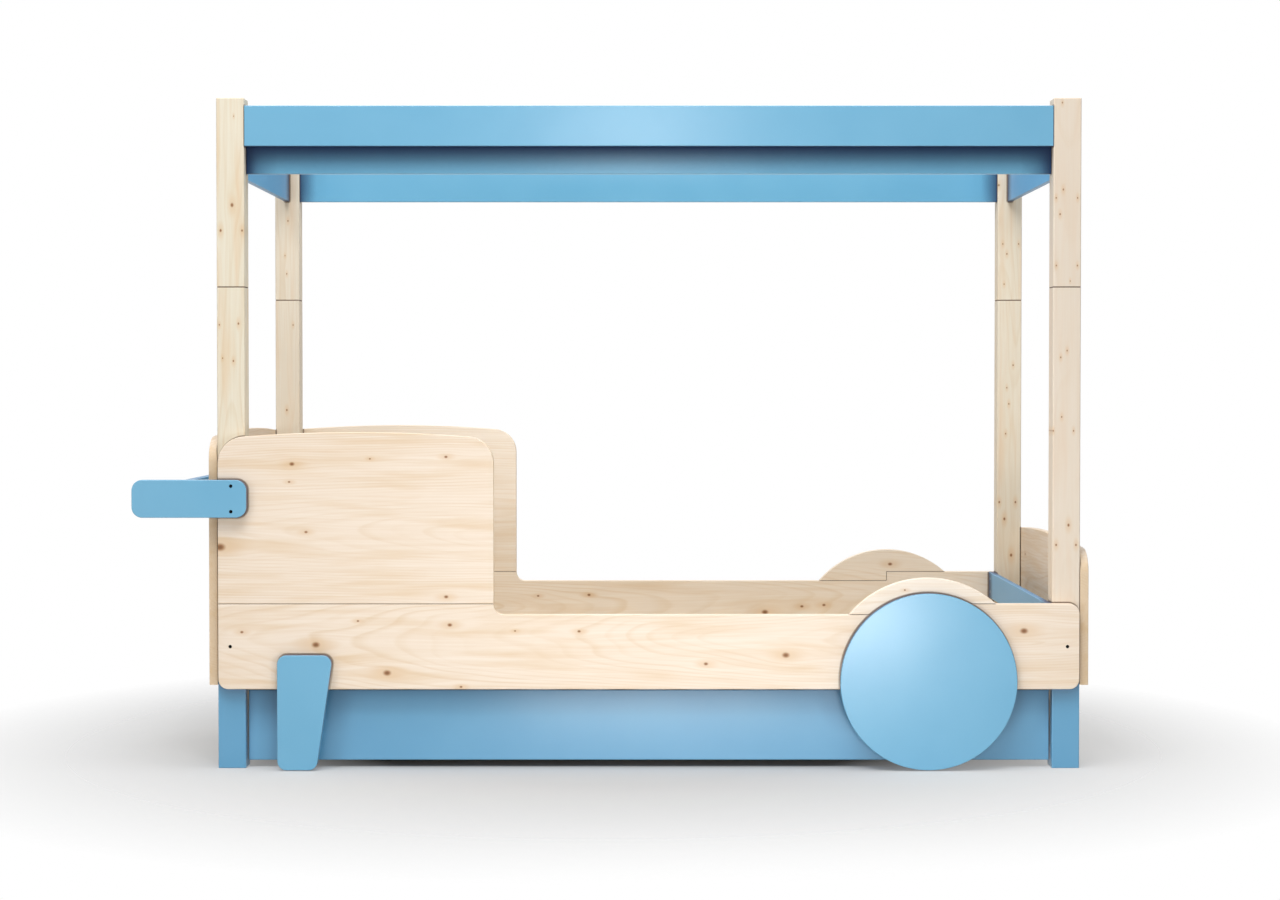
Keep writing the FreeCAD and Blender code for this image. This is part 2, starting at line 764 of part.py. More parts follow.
def make_castors():
    """Four fixed castors under the outer bearers."""
    for side, y_sign in SIDES:
        for end, x_sign in ENDS:
            x = x_sign * castor_x
            y = y_sign * castor_y
            add("castor_brackets", castor_bracket(x, y))
            add("castor_axles", castor_axle(x, y))
            add("castor_wheel_%s_%s" % (side, end), castor_wheel(x, y))
            half = castor_gap_x + castor_cheek_thickness
            start = Vector(x - half, y, castor_wheel_radius)
            clear = castor_axle_diameter / 2 + castor_running_clearance
            drill(Part.makeCylinder(clear, 2 * half, start, along_x), "castor_brackets")


def finish(solids, cutters):
    """Drill the solids of one node and set them in the part's own frame."""
    done = []
    for solid in solids:
        near = [tool for tool in cutters if tool.BoundBox.intersect(solid.BoundBox)]
        drilled = solid.cut(near) if near else solid
        done.extend(drilled.Solids)
    whole = Part.makeCompound(done) if len(done) > 1 else done[0]
    return whole.translated(origin * -1)


def main():
    make_posts()
    make_side_boards()
    make_hood_panels()
    make_fenders()
    make_end_board("nose_board", NOSE, hood_top, nose_bolt_shares)
    make_end_board("tail_board", TAIL, end_board_floor_height + tail_board_height, tail_bolt_shares)
    make_end_rails()
    make_canopy()
    make_bumper()
    make_rear_wheel_and_plate()
    make_slat_base()
    make_drawer_box()
    make_drawer_pulls()
    make_castors()
    os.makedirs("parts", exist_ok=True)
    for name, solids in nodes.items():
        finish(solids, holes.get(name, [])).exportStep("parts/%s.step" % name)


main()
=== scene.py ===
import logging
import math
from dataclasses import dataclass, field
from enum import Enum
from typing import Any, Callable

import bmesh
import bpy
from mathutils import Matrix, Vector


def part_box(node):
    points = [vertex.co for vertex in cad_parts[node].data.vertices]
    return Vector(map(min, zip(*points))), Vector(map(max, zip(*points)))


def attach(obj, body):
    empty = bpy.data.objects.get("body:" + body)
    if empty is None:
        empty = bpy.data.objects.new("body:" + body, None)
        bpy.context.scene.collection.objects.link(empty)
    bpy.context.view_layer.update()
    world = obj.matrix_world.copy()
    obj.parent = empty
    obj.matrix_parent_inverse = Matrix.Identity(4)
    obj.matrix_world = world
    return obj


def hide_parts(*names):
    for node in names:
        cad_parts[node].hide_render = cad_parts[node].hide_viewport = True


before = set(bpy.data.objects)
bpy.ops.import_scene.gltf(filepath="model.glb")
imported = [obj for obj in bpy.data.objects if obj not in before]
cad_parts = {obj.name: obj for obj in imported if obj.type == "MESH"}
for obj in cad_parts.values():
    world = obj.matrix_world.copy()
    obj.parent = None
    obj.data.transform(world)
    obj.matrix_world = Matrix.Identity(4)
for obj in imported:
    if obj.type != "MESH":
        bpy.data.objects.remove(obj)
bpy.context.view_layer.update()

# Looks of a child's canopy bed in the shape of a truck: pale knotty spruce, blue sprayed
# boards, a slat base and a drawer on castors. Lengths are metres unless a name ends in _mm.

log = logging.getLogger("canopy_bed")

Material = bpy.types.Material
Socket = bpy.types.NodeSocket
Tree = bpy.types.NodeTree
Radius = Callable[[float], float]
Pair = tuple[float, float]
Triple = tuple[float, float, float]

MM = 0.001
PER_MM = 1000.0
SIDES = ("front", "rear")
ENDS = ("nose", "tail")

# Sockets of the colour mixing node, which share their names with its other data types
MIX_FIRST = 6
MIX_SECOND = 7
MIX_RESULT = 2

# How fast the painted shade in a recess darkens with depth, and the heights between which the floor stops
# lighting it
CREVICE_DEPTH = 6.0
CREVICE_RAYS = 16
FLOOR_GLOW = (0.08, 0.3)

# Edges sharper than this stay crisp on turned pieces, and corners a micrometre apart are one
CRISP_ANGLE = math.radians(32)
CORNER_STEPS = 1e6


def linear(code: str) -> tuple[float, float, float, float]:
    """Turn an sRGB hex colour into linear light.

    Args:
        code: six hex digits after a hash sign.

    Returns:
        Red, green, blue and full alpha.
    """
    parts = [int(code[place:place + 2], 16) / 255 for place in (1, 3, 5)]
    light = [part / 12.92 if part <= 0.04045 else ((part + 0.055) / 1.055) ** 2.4 for part in parts]
    return (light[0], light[1], light[2], 1.0)


def add_node(
    tree: Tree, kind: str, inputs: dict[Any, Any] | None = None, output: int | str = 0, **settings: Any
) -> Socket:
    """Add one node, with its settings and links.

    Args:
        tree: the node tree that it goes into.
        kind: Blender's name for the node.
        inputs: for each input, by name or number, a value or the socket to link from.
        output: the output that is wanted, by name or number.
        settings: properties of the node itself.

    Returns:
        The wanted output, from which its node can be had, or the node if it has no output.
    """
    made = tree.nodes.new(kind)
    for name, value in settings.items():
        setattr(made, name, value)
    for name, value in (inputs or {}).items():
        if isinstance(value, Socket):
            tree.links.new(value, made.inputs[name])
        else:
            made.inputs[name].default_value = value
    return made.outputs[output] if made.outputs else made


def new_material(name: str) -> tuple[Material, Tree]:
    """Make an empty node material.

    Args:
        name: what it is and how its surface was made.

    Returns:
        The material and its node tree.
    """
    made = bpy.data.materials.new(name)
    made.use_nodes = True
    made.node_tree.nodes.clear()
    return made, made.node_tree


def place_in_mm(tree: Tree) -> Socket:
    """Add the place on the piece, in millimetres of the bed's own frame.

    Args:
        tree: the node tree that it goes into.

    Returns:
        The place as a vector.
    """
    place = add_node(tree, "ShaderNodeTexCoord", output="Object")
    scale = (PER_MM, PER_MM, PER_MM)
    return add_node(tree, "ShaderNodeVectorMath", {0: place, 1: scale}, operation="MULTIPLY")


def stretched_clouds(
    tree: Tree, place: Socket, sizes: Triple, detail: float, seed: float | None = None, output: int | str = 0
) -> Socket:
    """Add a cloudy pattern that has its own size along each axis.

    Args:
        tree: the node tree that it goes into.
        place: the place on the piece.
        sizes: how large the clouds are along each axis, in the units of the place.
        detail: how many finer layers they carry.
        seed: the number that makes one board differ from the next, or None for a pattern without.
        output: the output that is wanted.

    Returns:
        The pattern.
    """
    scale = tuple(1 / size for size in sizes)
    place = add_node(tree, "ShaderNodeVectorMath", {0: place, 1: scale}, operation="MULTIPLY")
    inputs = {"Vector": place, "Scale": 1.0, "Detail": detail}
    if seed is None:
        return add_node(tree, "ShaderNodeTexNoise", inputs, output=output)
    return add_node(tree, "ShaderNodeTexNoise", inputs | {"W": seed}, output=output, noise_dimensions="4D")


def facing_mask(tree: Tree, axis: int | str, limits: Pair, strength: float) -> Socket:
    """Add a mask of the faces that look, or do not look, along an axis.

    Args:
        tree: the node tree that it goes into.
        axis: the axis, by number or letter.
        limits: how squarely a face looks along it where the mask starts and where it is full.
        strength: the mask where it is full.

    Returns:
        The mask.
    """
    normal = add_node(tree, "ShaderNodeNewGeometry", output="Normal")
    part = add_node(tree, "ShaderNodeSeparateXYZ", {0: normal}, output=axis)
    square = add_node(tree, "ShaderNodeMath", {0: part}, operation="ABSOLUTE")
    start, full = limits
    return add_node(
        tree,
        "ShaderNodeMapRange",
        {"Value": square, "From Min": start, "From Max": full, "To Max": strength},
    )


def looked_at(tree: Tree) -> Socket:
    """Add a switch for the rays that show the background: seen, mirrored or through glass.

    Args:
        tree: the node tree that it goes into.

    Returns:
        One for those rays, zero for the rays that only carry light.
    """
    path = add_node(tree, "ShaderNodeLightPath").node
    seen = path.outputs["Is Camera Ray"]
    for kind in ("Is Glossy Ray", "Is Transmission Ray"):
        seen = add_node(tree, "ShaderNodeMath", {0: seen, 1: path.outputs[kind]}, operation="MAXIMUM")
    return seen


def painted_crevice_shade(tree: Tree, reach_mm: float, strength: float) -> Socket:
    """Add a mask of painted shade in the joints and recesses, where little light comes in.

    Args:
        tree: the node tree that it goes into.
        reach_mm: how near another surface has to be.
        strength: the mask in the deepest places.

    Returns:
        The mask, zero on open faces and close to the floor, which throws light back.
    """
    reach = {"Distance": reach_mm * MM}
    openness = add_node(tree, "ShaderNodeAmbientOcclusion", reach, output="AO", samples=CREVICE_RAYS)
    openness = add_node(tree, "ShaderNodeMath", {0: openness, 1: CREVICE_DEPTH}, operation="POWER")
    place = add_node(tree, "ShaderNodeTexCoord", output="Object")
    height = add_node(tree, "ShaderNodeSeparateXYZ", {"Vector": place}, output="Z")
    low, high = FLOOR_GLOW
    share = add_node(
        tree,
        "ShaderNodeMapRange",
        {"Value": height, "From Min": low, "From Max": high, "To Max": strength},
    )
    return add_node(
        tree,
        "ShaderNodeMapRange",
        {"Value": openness, "From Min": 1.0, "From Max": 0.0, "To Max": share},
    )


def close_material(
    tree: Tree,
    ground: str,
    layers: list[tuple[float | Socket, str]],
    relief: Socket,
    relief_mm: float,
    relief_strength: float,
    shine: dict[str, float | Socket],
) -> None:
    """Lay the colours over each other, and join them with relief and shine in one shader.

    Args:
        tree: the node tree that it goes into.
        ground: the colour under all the others.
        layers: for each colour over it, the share that it covers and the colour.
        relief: the height of the surface, from 0 to 1.
        relief_mm: how high the relief is.
        relief_strength: how strongly it turns the light.
        shine: the shader's other inputs.
    """
    colour: Any = linear(ground)
    for share, paint in layers:
        colour = add_node(
            tree,
            "ShaderNodeMix",
            {0: share, MIX_FIRST: colour, MIX_SECOND: linear(paint)},
            output=MIX_RESULT,
            data_type="RGBA",
        )
    bump = add_node(
        tree,
        "ShaderNodeBump",
        {"Strength": relief_strength, "Distance": relief_mm * MM, "Height": relief},
    )
    shader = add_node(tree, "ShaderNodeBsdfPrincipled", {"Base Color": colour, "Normal": bump} | shine)
    add_node(tree, "ShaderNodeOutputMaterial", {"Surface": shader})


class Grain(Enum):
    """The way that a board's fibres run: its axes along, across and through the face."""

    LENGTHWISE = ("X", "Z", "Y")
    CROSSWISE = ("Y", "Z", "X")
    UPRIGHT = ("Z", "X", "Y")
    SLAT = ("Y", "X", "Z")


class Face(Enum):
    """The axis that a sprayed board's broad faces look along."""

    FORWARD = "Y"
    ENDWAYS = "X"


@dataclass(frozen=True)
class Knot:
    """One knot: its place along and across the grain, and its radius, in millimetres."""

    along_mm: float
    across_mm: float
    radius_mm: float


def knots(*rows: Triple) -> tuple[Knot, ...]:
    """Knots from rows of place along, place across and radius, in millimetres."""
    return tuple(Knot(*row) for row in rows)


@dataclass(frozen=True)
class Board:
    """One piece of timber as it was sawn from its log."""

    node: str
    grain: Grain
    seed: float
    pith_across_mm: float
    pith_through_mm: float
    pith_slope: float = 0.0
    pith_along_mm: float = 0.0
    warmth: float = 0.0
    seam_mm: float | None = None
    each_differs: bool = False
    knots: tuple[Knot, ...] = ()


@dataclass(frozen=True)
class Spruce:
    """Spruce, planed and clear lacquered or left bare.

    The eye sees long honey-coloured growth lines on a cream ground, lines that bend round small
    brown knots, broad amber smears, and darker wood on the sawn ends. Joints, butt seams and
    recesses are darkened with painted shade.
    """

    name: str = "knotty_spruce_planed_clear_lacquered"
    early: str = "#F5E6D5"
    late: str = "#E0C4A0"
    honey: str = "#E3C6A0"
    amber: str = "#D9AE74"
    heart: str = "#A26A3C"
    core: str = "#5A3820"
    sawn: str = "#D3B588"
    rosy: str = "#E9D8C8"
    # Colour of the painted shade in joints, recesses and butt seams
    joint: str = "#5E4229"
    # Spruce of this kind grows 3 to 6 mm a year; the lines are drawn a little coarser, to show
    ring_mm: float = 6.5
    # The part of a ring where the late wood starts, and where it is darkest
    late_start: float = 0.48
    late_peak: float = 0.86
    # Good and bad years: some lines are strong, others hardly show
    year_run_mm: float = 900.0
    years_alike: float = 1 / 0.31
    vigour_noise: Pair = (0.38, 0.68)
    vigour: Pair = (0.05, 0.45)
    # The pith wanders in its log
    wander_mm: float = 17.0
    wander_width_mm: float = 150.0
    wander_length_mm: float = 780.0
    # A planed fibre streak is under 1 mm wide, too fine for the picture, so it is drawn coarser
    fibre_mm: float = 5.0
    fibre_length_mm: float = 240.0
    fibre_noise: Pair = (0.3, 0.72)
    fibre_share: float = 0.34
    smear_mm: float = 24.0
    smear_length_mm: float = 300.0
    smear_noise: Pair = (0.48, 0.74)
    smear_share: float = 0.7
    # What is added to a board's seed for each of its patterns
    year_seed: float = 3.7
    fibre_seed: float = 11.3
    smear_seed: float = 23.9
    # A knot's ovals, as shares of its radius along and across the grain, and where its parts end
    knot_oval: Triple = (0.72, 1.0, 0.0)
    flow_oval: Triple = (0.13, 0.42, 0.0)
    glow_oval: Triple = (0.2, 0.5, 0.0)
    heart_edge: Pair = (1.1, 0.35)
    core_edge: Pair = (0.72, 0.1)
    glow_edge: Pair = (1.6, 0.2)
    heart_share: float = 0.8
    core_share: float = 0.6
    glow_share: float = 0.34
    # A face counts as sawn as it turns to look along the fibres, and is this much darker
    sawn_facing: Pair = (0.55, 0.95)
    sawn_share: float = 0.55
    # Painted shade in joints and recesses: how near another surface has to be and how strong it is; and along
    # butt seams, over darker end grain: how wide and how strong
    joint_shade_mm: float = 5.0
    joint_shade_share: float = 0.8
    seam_edge_mm: Pair = (1.8, 1.0)
    seam_share: float = 0.9
    # Boards of one node are cut this far apart from one log
    apart_mm: float = 5000.0
    roughness: float = 0.55
    roughness_range: Pair = (-0.05, 0.07)
    coat: float = 0.05
    coat_roughness: float = 0.4
    relief_mm: float = 0.12
    relief_strength: float = 0.5
    index: float = 1.33

    def knot_group(self) -> Tree:
        """Make the pattern of one knot, shared by all the boards.

        Returns:
            A group that gives the sideways push on the grain, and the masks of the knot.
        """
        name = "grain_round_a_knot"
        if name in bpy.data.node_groups:
            return bpy.data.node_groups[name]
        group = bpy.data.node_groups.new(name, "ShaderNodeTree")
        for label, way, kind in (
            ("Point", "INPUT", "Vector"),
            ("Centre", "INPUT", "Vector"),
            ("Radius", "INPUT", "Float"),
            ("Push", "OUTPUT", "Float"),
            ("Masks", "OUTPUT", "Vector"),
        ):
            group.interface.new_socket(label, in_out=way, socket_type="NodeSocket" + kind)
        given = add_node(group, "NodeGroupInput").node.outputs
        offset = add_node(
            group, "ShaderNodeVectorMath", {0: given["Point"], 1: given["Centre"]}, operation="SUBTRACT"
        )
        inverse = add_node(group, "ShaderNodeMath", {0: 1.0, 1: given["Radius"]}, operation="DIVIDE")
        scaled = add_node(group, "ShaderNodeVectorMath", {0: offset, "Scale": inverse}, operation="SCALE")
        spans = []
        for stretch in (self.knot_oval, self.flow_oval, self.glow_oval):
            oval = add_node(group, "ShaderNodeVectorMath", {0: scaled, 1: stretch}, operation="MULTIPLY")
            spans.append(
                add_node(group, "ShaderNodeVectorMath", {0: oval}, output="Value", operation="LENGTH")
            )
        near, wide, round_about = spans
        # The grain flows past the knot like water past a post
        square = add_node(group, "ShaderNodeMath", {0: wide, 1: 2.0}, operation="POWER")
        slack = add_node(group, "ShaderNodeMath", {0: square, 1: 1.0}, operation="ADD")
        sideways = add_node(group, "ShaderNodeSeparateXYZ", {0: offset}, output="Y")
        push = add_node(group, "ShaderNodeMath", {0: sideways, 1: slack}, operation="DIVIDE")
        masks = {}
        for number, (span, (outer, inner)) in enumerate(
            ((near, self.heart_edge), (near, self.core_edge), (round_about, self.glow_edge))
        ):
            masks[number] = add_node(
                group,
                "ShaderNodeMapRange",
                {"Value": span, "From Min": outer, "From Max": inner},
                interpolation_type="SMOOTHSTEP",
            )
        joined = add_node(group, "ShaderNodeCombineXYZ", masks)
        add_node(group, "NodeGroupOutput", {0: push, 1: joined})
        return group

    def flow_round_knots(
        self, tree: Tree, board: Board, along: Socket, across: Socket
    ) -> tuple[Socket, Socket | None]:
        """Push the grain aside at each knot of a board.

        Args:
            tree: the node tree of the board's material.
            board: the piece of timber.
            along: the place along the grain.
            across: the place across the grain.

        Returns:
            The place across the grain after the push, and the masks of all knots, if there are any.
        """
        flow = across
        masks = None
        point = add_node(tree, "ShaderNodeCombineXYZ", {0: along, 1: across})
        for knot in board.knots:
            swirl = add_node(
                tree,
                "ShaderNodeGroup",
                {"Point": point, "Centre": (knot.along_mm, knot.across_mm, 0.0), "Radius": knot.radius_mm},
                node_tree=self.knot_group(),
            ).node.outputs
            flow = add_node(tree, "ShaderNodeMath", {0: flow, 1: swirl["Push"]}, operation="SUBTRACT")
            if masks is None:
                masks = swirl["Masks"]
            else:
                both = {0: masks, 1: swirl["Masks"]}
                masks = add_node(tree, "ShaderNodeVectorMath", both, operation="MAXIMUM")
        return flow, masks

    def growth_lines(self, tree: Tree, board: Board, stem: Socket) -> Socket:
        """Draw the late wood of each year, by the distance from a pith that wanders along the log.

        Args:
            tree: the node tree of the board's material.
            board: the piece of timber.
            stem: the place along, across and through the board.

        Returns:
            The strength of the growth lines.
        """
        along, flow, through = add_node(tree, "ShaderNodeSeparateXYZ", {0: stem}).node.outputs
        sizes = (self.wander_length_mm, self.wander_width_mm, self.wander_width_mm)
        wander = stretched_clouds(tree, stem, sizes, 2.0, board.seed, output="Color")
        wander_across, wander_through, _ = add_node(tree, "ShaderNodeSeparateXYZ", {0: wander}).node.outputs
        reach = 2 * self.wander_mm
        side = add_node(
            tree,
            "ShaderNodeMath",
            {0: wander_across, 1: reach, 2: -board.pith_across_mm - self.wander_mm},
            operation="MULTIPLY_ADD",
        )
        side = add_node(tree, "ShaderNodeMath", {0: flow, 1: side}, operation="ADD")
        pith = -board.pith_through_mm - board.pith_slope * board.pith_along_mm - reach
        depth = add_node(
            tree, "ShaderNodeMath", {0: along, 1: board.pith_slope, 2: pith}, operation="MULTIPLY_ADD"
        )
        depth = add_node(
            tree, "ShaderNodeMath", {0: wander_through, 1: 2 * reach, 2: depth}, operation="MULTIPLY_ADD"
        )
        depth = add_node(tree, "ShaderNodeMath", {0: through, 1: depth}, operation="ADD")
        spoke = add_node(tree, "ShaderNodeCombineXYZ", {0: side, 1: depth})
        radius = add_node(tree, "ShaderNodeVectorMath", {0: spoke}, output="Value", operation="LENGTH")
        years = add_node(tree, "ShaderNodeMath", {0: radius, 1: self.ring_mm}, operation="DIVIDE")
        season = add_node(tree, "ShaderNodeMath", {0: years}, operation="FRACT")
        late_wood = add_node(tree, "ShaderNodeValToRGB", {0: season})
        ramp = late_wood.node.color_ramp
        ramp.elements[0].position = self.late_start
        ramp.elements[1].position = self.late_peak
        ramp.elements.new(1.0)
        for element, grey in zip(ramp.elements, (0.0, 1.0, 0.0)):
            element.color = (grey, grey, grey, 1.0)
        ramp.interpolation = "EASE"
        year = add_node(tree, "ShaderNodeCombineXYZ", {0: along, 1: years})
        sizes = (self.year_run_mm, self.years_alike, 1.0)
        vigour = stretched_clouds(tree, year, sizes, 3.0, board.seed + self.year_seed)
        vigour = add_node(
            tree,
            "ShaderNodeMapRange",
            {
                "Value": vigour,
                "From Min": self.vigour_noise[0],
                "From Max": self.vigour_noise[1],
                "To Min": self.vigour[0],
                "To Max": self.vigour[1],
            },
        )
        return add_node(tree, "ShaderNodeMath", {0: late_wood, 1: vigour}, operation="MULTIPLY")

    def material(self, board: Board) -> Material:
        """Make the material of one board, with its own log, seed and knots.

        Args:
            board: the piece of timber.

        Returns:
            The finished material.
        """
        made, tree = new_material("%s_%s" % (self.name, board.node))
        axes = [("X", "Y", "Z").index(letter) for letter in board.grain.value]
        place = place_in_mm(tree)
        if board.each_differs:
            own = add_node(tree, "ShaderNodeNewGeometry", output="Random Per Island")
            shift = add_node(tree, "ShaderNodeMath", {0: own, 1: self.apart_mm}, operation="MULTIPLY")
            step = add_node(tree, "ShaderNodeCombineXYZ", {axes[0]: shift})
            place = add_node(tree, "ShaderNodeVectorMath", {0: place, 1: step}, operation="ADD")
        split = add_node(tree, "ShaderNodeSeparateXYZ", {0: place}).node
        along, across, through = (split.outputs[axis] for axis in axes)
        flow, masks = self.flow_round_knots(tree, board, along, across)
        stem = add_node(tree, "ShaderNodeCombineXYZ", {0: along, 1: flow, 2: through})
        line = self.growth_lines(tree, board, stem)

        # Fibre streaks and broad smears
        streaks = []
        for length_mm, width_mm, seed, (low, high) in (
            (self.fibre_length_mm, self.fibre_mm, self.fibre_seed, self.fibre_noise),
            (self.smear_length_mm, self.smear_mm, self.smear_seed, self.smear_noise),
        ):
            streak = stretched_clouds(tree, stem, (length_mm, width_mm, width_mm), 3.0, board.seed + seed)
            streaks.append(
                add_node(tree, "ShaderNodeMapRange", {"Value": streak, "From Min": low, "From Max": high})
            )
        fibre, smear = streaks
        tone = add_node(
            tree,
            "ShaderNodeMath",
            {0: fibre, 1: self.fibre_share, 2: line},
            operation="MULTIPLY_ADD",
            use_clamp=True,
        )
        smeared = add_node(tree, "ShaderNodeMath", {0: smear, 1: self.smear_share}, operation="MULTIPLY")
        layers = [(tone, self.late), (smeared, self.honey)]
        if board.warmth:
            layers.append((board.warmth, self.rosy))
        relief = tone
        if masks is not None:
            heart, core, glow = add_node(tree, "ShaderNodeSeparateXYZ", {0: masks}).node.outputs
            for mask, strength, paint in (
                (glow, self.glow_share, self.amber),
                (heart, self.heart_share, self.heart),
                (core, self.core_share, self.core),
            ):
                share = add_node(tree, "ShaderNodeMath", {0: mask, 1: strength}, operation="MULTIPLY")
                layers.append((share, paint))
            relief = add_node(tree, "ShaderNodeMath", {0: relief, 1: core}, operation="SUBTRACT")

        # Sawn ends drink more lacquer and look darker than the planed faces
        layers.append((facing_mask(tree, axes[0], self.sawn_facing, self.sawn_share), self.sawn))
        if board.seam_mm is not None:
            # The eased edges at a butt seam are sawn across the fibres and show as a dark line; most of its
            # darkness is painted shade of the groove between them
            gap = add_node(tree, "ShaderNodeMath", {0: along, 1: board.seam_mm}, operation="SUBTRACT")
            gap = add_node(tree, "ShaderNodeMath", {0: gap}, operation="ABSOLUTE")
            outer, inner = self.seam_edge_mm
            seam = add_node(
                tree,
                "ShaderNodeMapRange",
                {"Value": gap, "From Min": outer, "From Max": inner, "To Max": self.seam_share},
            )
            layers.append((seam, self.joint))
        # Painted shade in joints and recesses
        layers.append((painted_crevice_shade(tree, self.joint_shade_mm, self.joint_shade_share), self.joint))
        low, high = self.roughness_range
        gloss = add_node(
            tree,
            "ShaderNodeMapRange",
            {"Value": fibre, "To Min": self.roughness + low, "To Max": self.roughness + high},
        )
        shine = {
            "Roughness": gloss,
            "IOR": self.index,
            "Coat Weight": self.coat,
            "Coat Roughness": self.coat_roughness,
        }
        close_material(tree, self.early, layers, relief, self.relief_mm, self.relief_strength, shine)
        return made


@dataclass(frozen=True)
class SprayedLacquer:
    """Fibreboard, primed and sprayed with a satin blue lacquer.

    The eye sees an even light blue with a soft sheen, the faint stipple of the spray, slow cloudy
    changes of tone, and cut edges that are a little duller because they drink the lacquer. The
    cut edges are drawn darker also as painted shade, and recesses carry painted shade, where the
    sheen may be taken away too.
    """

    name: str = "fibreboard_sprayed_satin_blue"
    blue: str = "#67AACC"
    pale: str = "#6CAECF"
    edge: str = "#5F96B8"
    # Painted shade in recesses: its colour, how near another surface has to be, and its strength
    recess: str = "#0E1E4C"
    recess_mm: float = 80.0
    recess_share: float = 0.95
    # A face counts as a cut edge as it turns away from the broad faces, and is this much duller, partly from
    # the lacquer it drinks and partly as painted shade
    edge_facing: Pair = (0.85, 0.3)
    edge_share: float = 0.55
    # Spray stipple is near 1 mm, too fine for the picture, so it is drawn three times as wide
    stipple_mm: float = 3.0
    cloud_mm: float = 160.0
    noise: Pair = (0.3, 0.7)
    roughness: float = 0.4
    roughness_range: Pair = (-0.03, 0.05)
    relief_mm: float = 0.03
    relief_strength: float = 0.35
    index: float = 1.33
    coat: float = 1.0
    coat_roughness: float = 0.26
    coat_index: float = 1.6
    # Whether the sheen fades with the painted shade of a recess, as painted shade of the sheen, and the
    # recess mask where it ends
    sheen_fades: bool = False
    sheen_end: float = 0.9

    def material(self, face: Face) -> Material:
        """Make the lacquer for boards whose broad faces look one way.

        Args:
            face: the way that the broad faces look.

        Returns:
            The finished material.
        """
        made, tree = new_material("%s_%s" % (self.name, face.name.lower()))
        place = place_in_mm(tree)
        cloud, stipple = (
            add_node(tree, "ShaderNodeTexNoise", {"Vector": place, "Scale": 1 / size_mm, "Detail": detail})
            for size_mm, detail in ((self.cloud_mm, 2.0), (self.stipple_mm, 1.0))
        )
        low, high = self.noise
        cloud = add_node(tree, "ShaderNodeMapRange", {"Value": cloud, "From Min": low, "From Max": high})
        cut = facing_mask(tree, face.value, self.edge_facing, self.edge_share)
        # Painted shade in recesses, which also takes the sheen away where it fades
        recess = painted_crevice_shade(tree, self.recess_mm, self.recess_share)
        coat: float | Socket = self.coat
        if self.sheen_fades:
            coat = add_node(
                tree,
                "ShaderNodeMapRange",
                {"Value": recess, "From Max": self.sheen_end, "To Min": self.coat, "To Max": 0.0},
            )
        smooth, rough = self.roughness_range
        gloss = add_node(
            tree,
            "ShaderNodeMapRange",
            {
                "Value": stipple,
                "From Min": low,
                "From Max": high,
                "To Min": self.roughness + smooth,
                "To Max": self.roughness + rough,
            },
        )
        layers = [(cloud, self.pale), (cut, self.edge), (recess, self.recess)]
        shine = {
            "Roughness": gloss,
            "IOR": self.index,
            "Coat Weight": coat,
            "Coat Roughness": self.coat_roughness,
            "Coat IOR": self.coat_index,
        }
        close_material(tree, self.blue, layers, stipple, self.relief_mm, self.relief_strength, shine)
        return made


@dataclass(frozen=True)
class SpeckledStuff:
    """A stuff with one ground colour and specks: plywood, beech, plated or blackened steel, nylon.

    The eye sees a ground broken by short specks or streaks, with a gloss that varies with them.
    """

    name: str
    ground: str
    speck: str
    speck_mm: Triple
    roughness: Pair
    metallic: float = 0.0
    index: float = 1.5
    relief_mm: float = 0.05
    relief_strength: float = 0.4
    contrast: float = 0.8
    speck_noise: Pair = (0.42, 0.7)
    gloss_noise: Pair = (0.3, 0.7)

    def material(self) -> Material:
        """Make the material.

        Returns:
            The finished material.
        """
        made, tree = new_material(self.name)
        specks = stretched_clouds(tree, place_in_mm(tree), self.speck_mm, 3.0)
        share, gloss = (
            add_node(
                tree,
                "ShaderNodeMapRange",
                {"Value": specks, "From Min": low, "From Max": high, "To Min": least, "To Max": most},
            )
            for (low, high), (least, most) in (
                (self.speck_noise, (0.0, self.contrast)),
                (self.gloss_noise, self.roughness),
            )
        )
        shine = {"Roughness": gloss, "IOR": self.index, "Metallic": self.metallic}
        layers = [(share, self.speck)]
        close_material(tree, self.ground, layers, specks, self.relief_mm, self.relief_strength, shine)
        return made


# Rotary-cut birch shows long pale brown waves
BIRCH_PLYWOOD = SpeckledStuff(
    "birch_plywood_sanded", "#E6D2AC", "#D2B486", (420.0, 22.0, 22.0), (0.5, 0.62)
)
# Turned beech shows short dark flecks
BEECH_DOWEL = SpeckledStuff("beech_turned_bare", "#D9B48A", "#B98A5C", (1.6, 1.6, 7.0), (0.5, 0.65))
# Blackened steel is nearly black with a dull oil sheen
BLACKENED_STEEL = SpeckledStuff(
    "steel_blackened", "#0E0F10", "#1C1D1E", (1.2, 1.2, 1.2), (0.34, 0.5), metallic=1.0, relief_mm=0.02
)
# Bright zinc has a cool patchy grey
ZINC_PLATE = SpeckledStuff(
    "steel_zinc_plated", "#C3C7CB", "#A2A7AC", (4.0, 4.0, 4.0), (0.24, 0.4), metallic=1.0, relief_mm=0.02
)
# Moulded nylon is a soft dark grey with a fine eroded texture
CASTOR_NYLON = SpeckledStuff(
    "nylon_moulded_dark", "#242528", "#303236", (0.9, 0.9, 0.9), (0.42, 0.56), relief_mm=0.04
)
# The soft tread is a paler grey, dulled by rolling
CASTOR_TREAD = SpeckledStuff(
    "soft_rubber_moulded_grey", "#6A6D70", "#7C7F82", (2.2, 1.1, 1.1), (0.6, 0.75), relief_mm=0.06
)


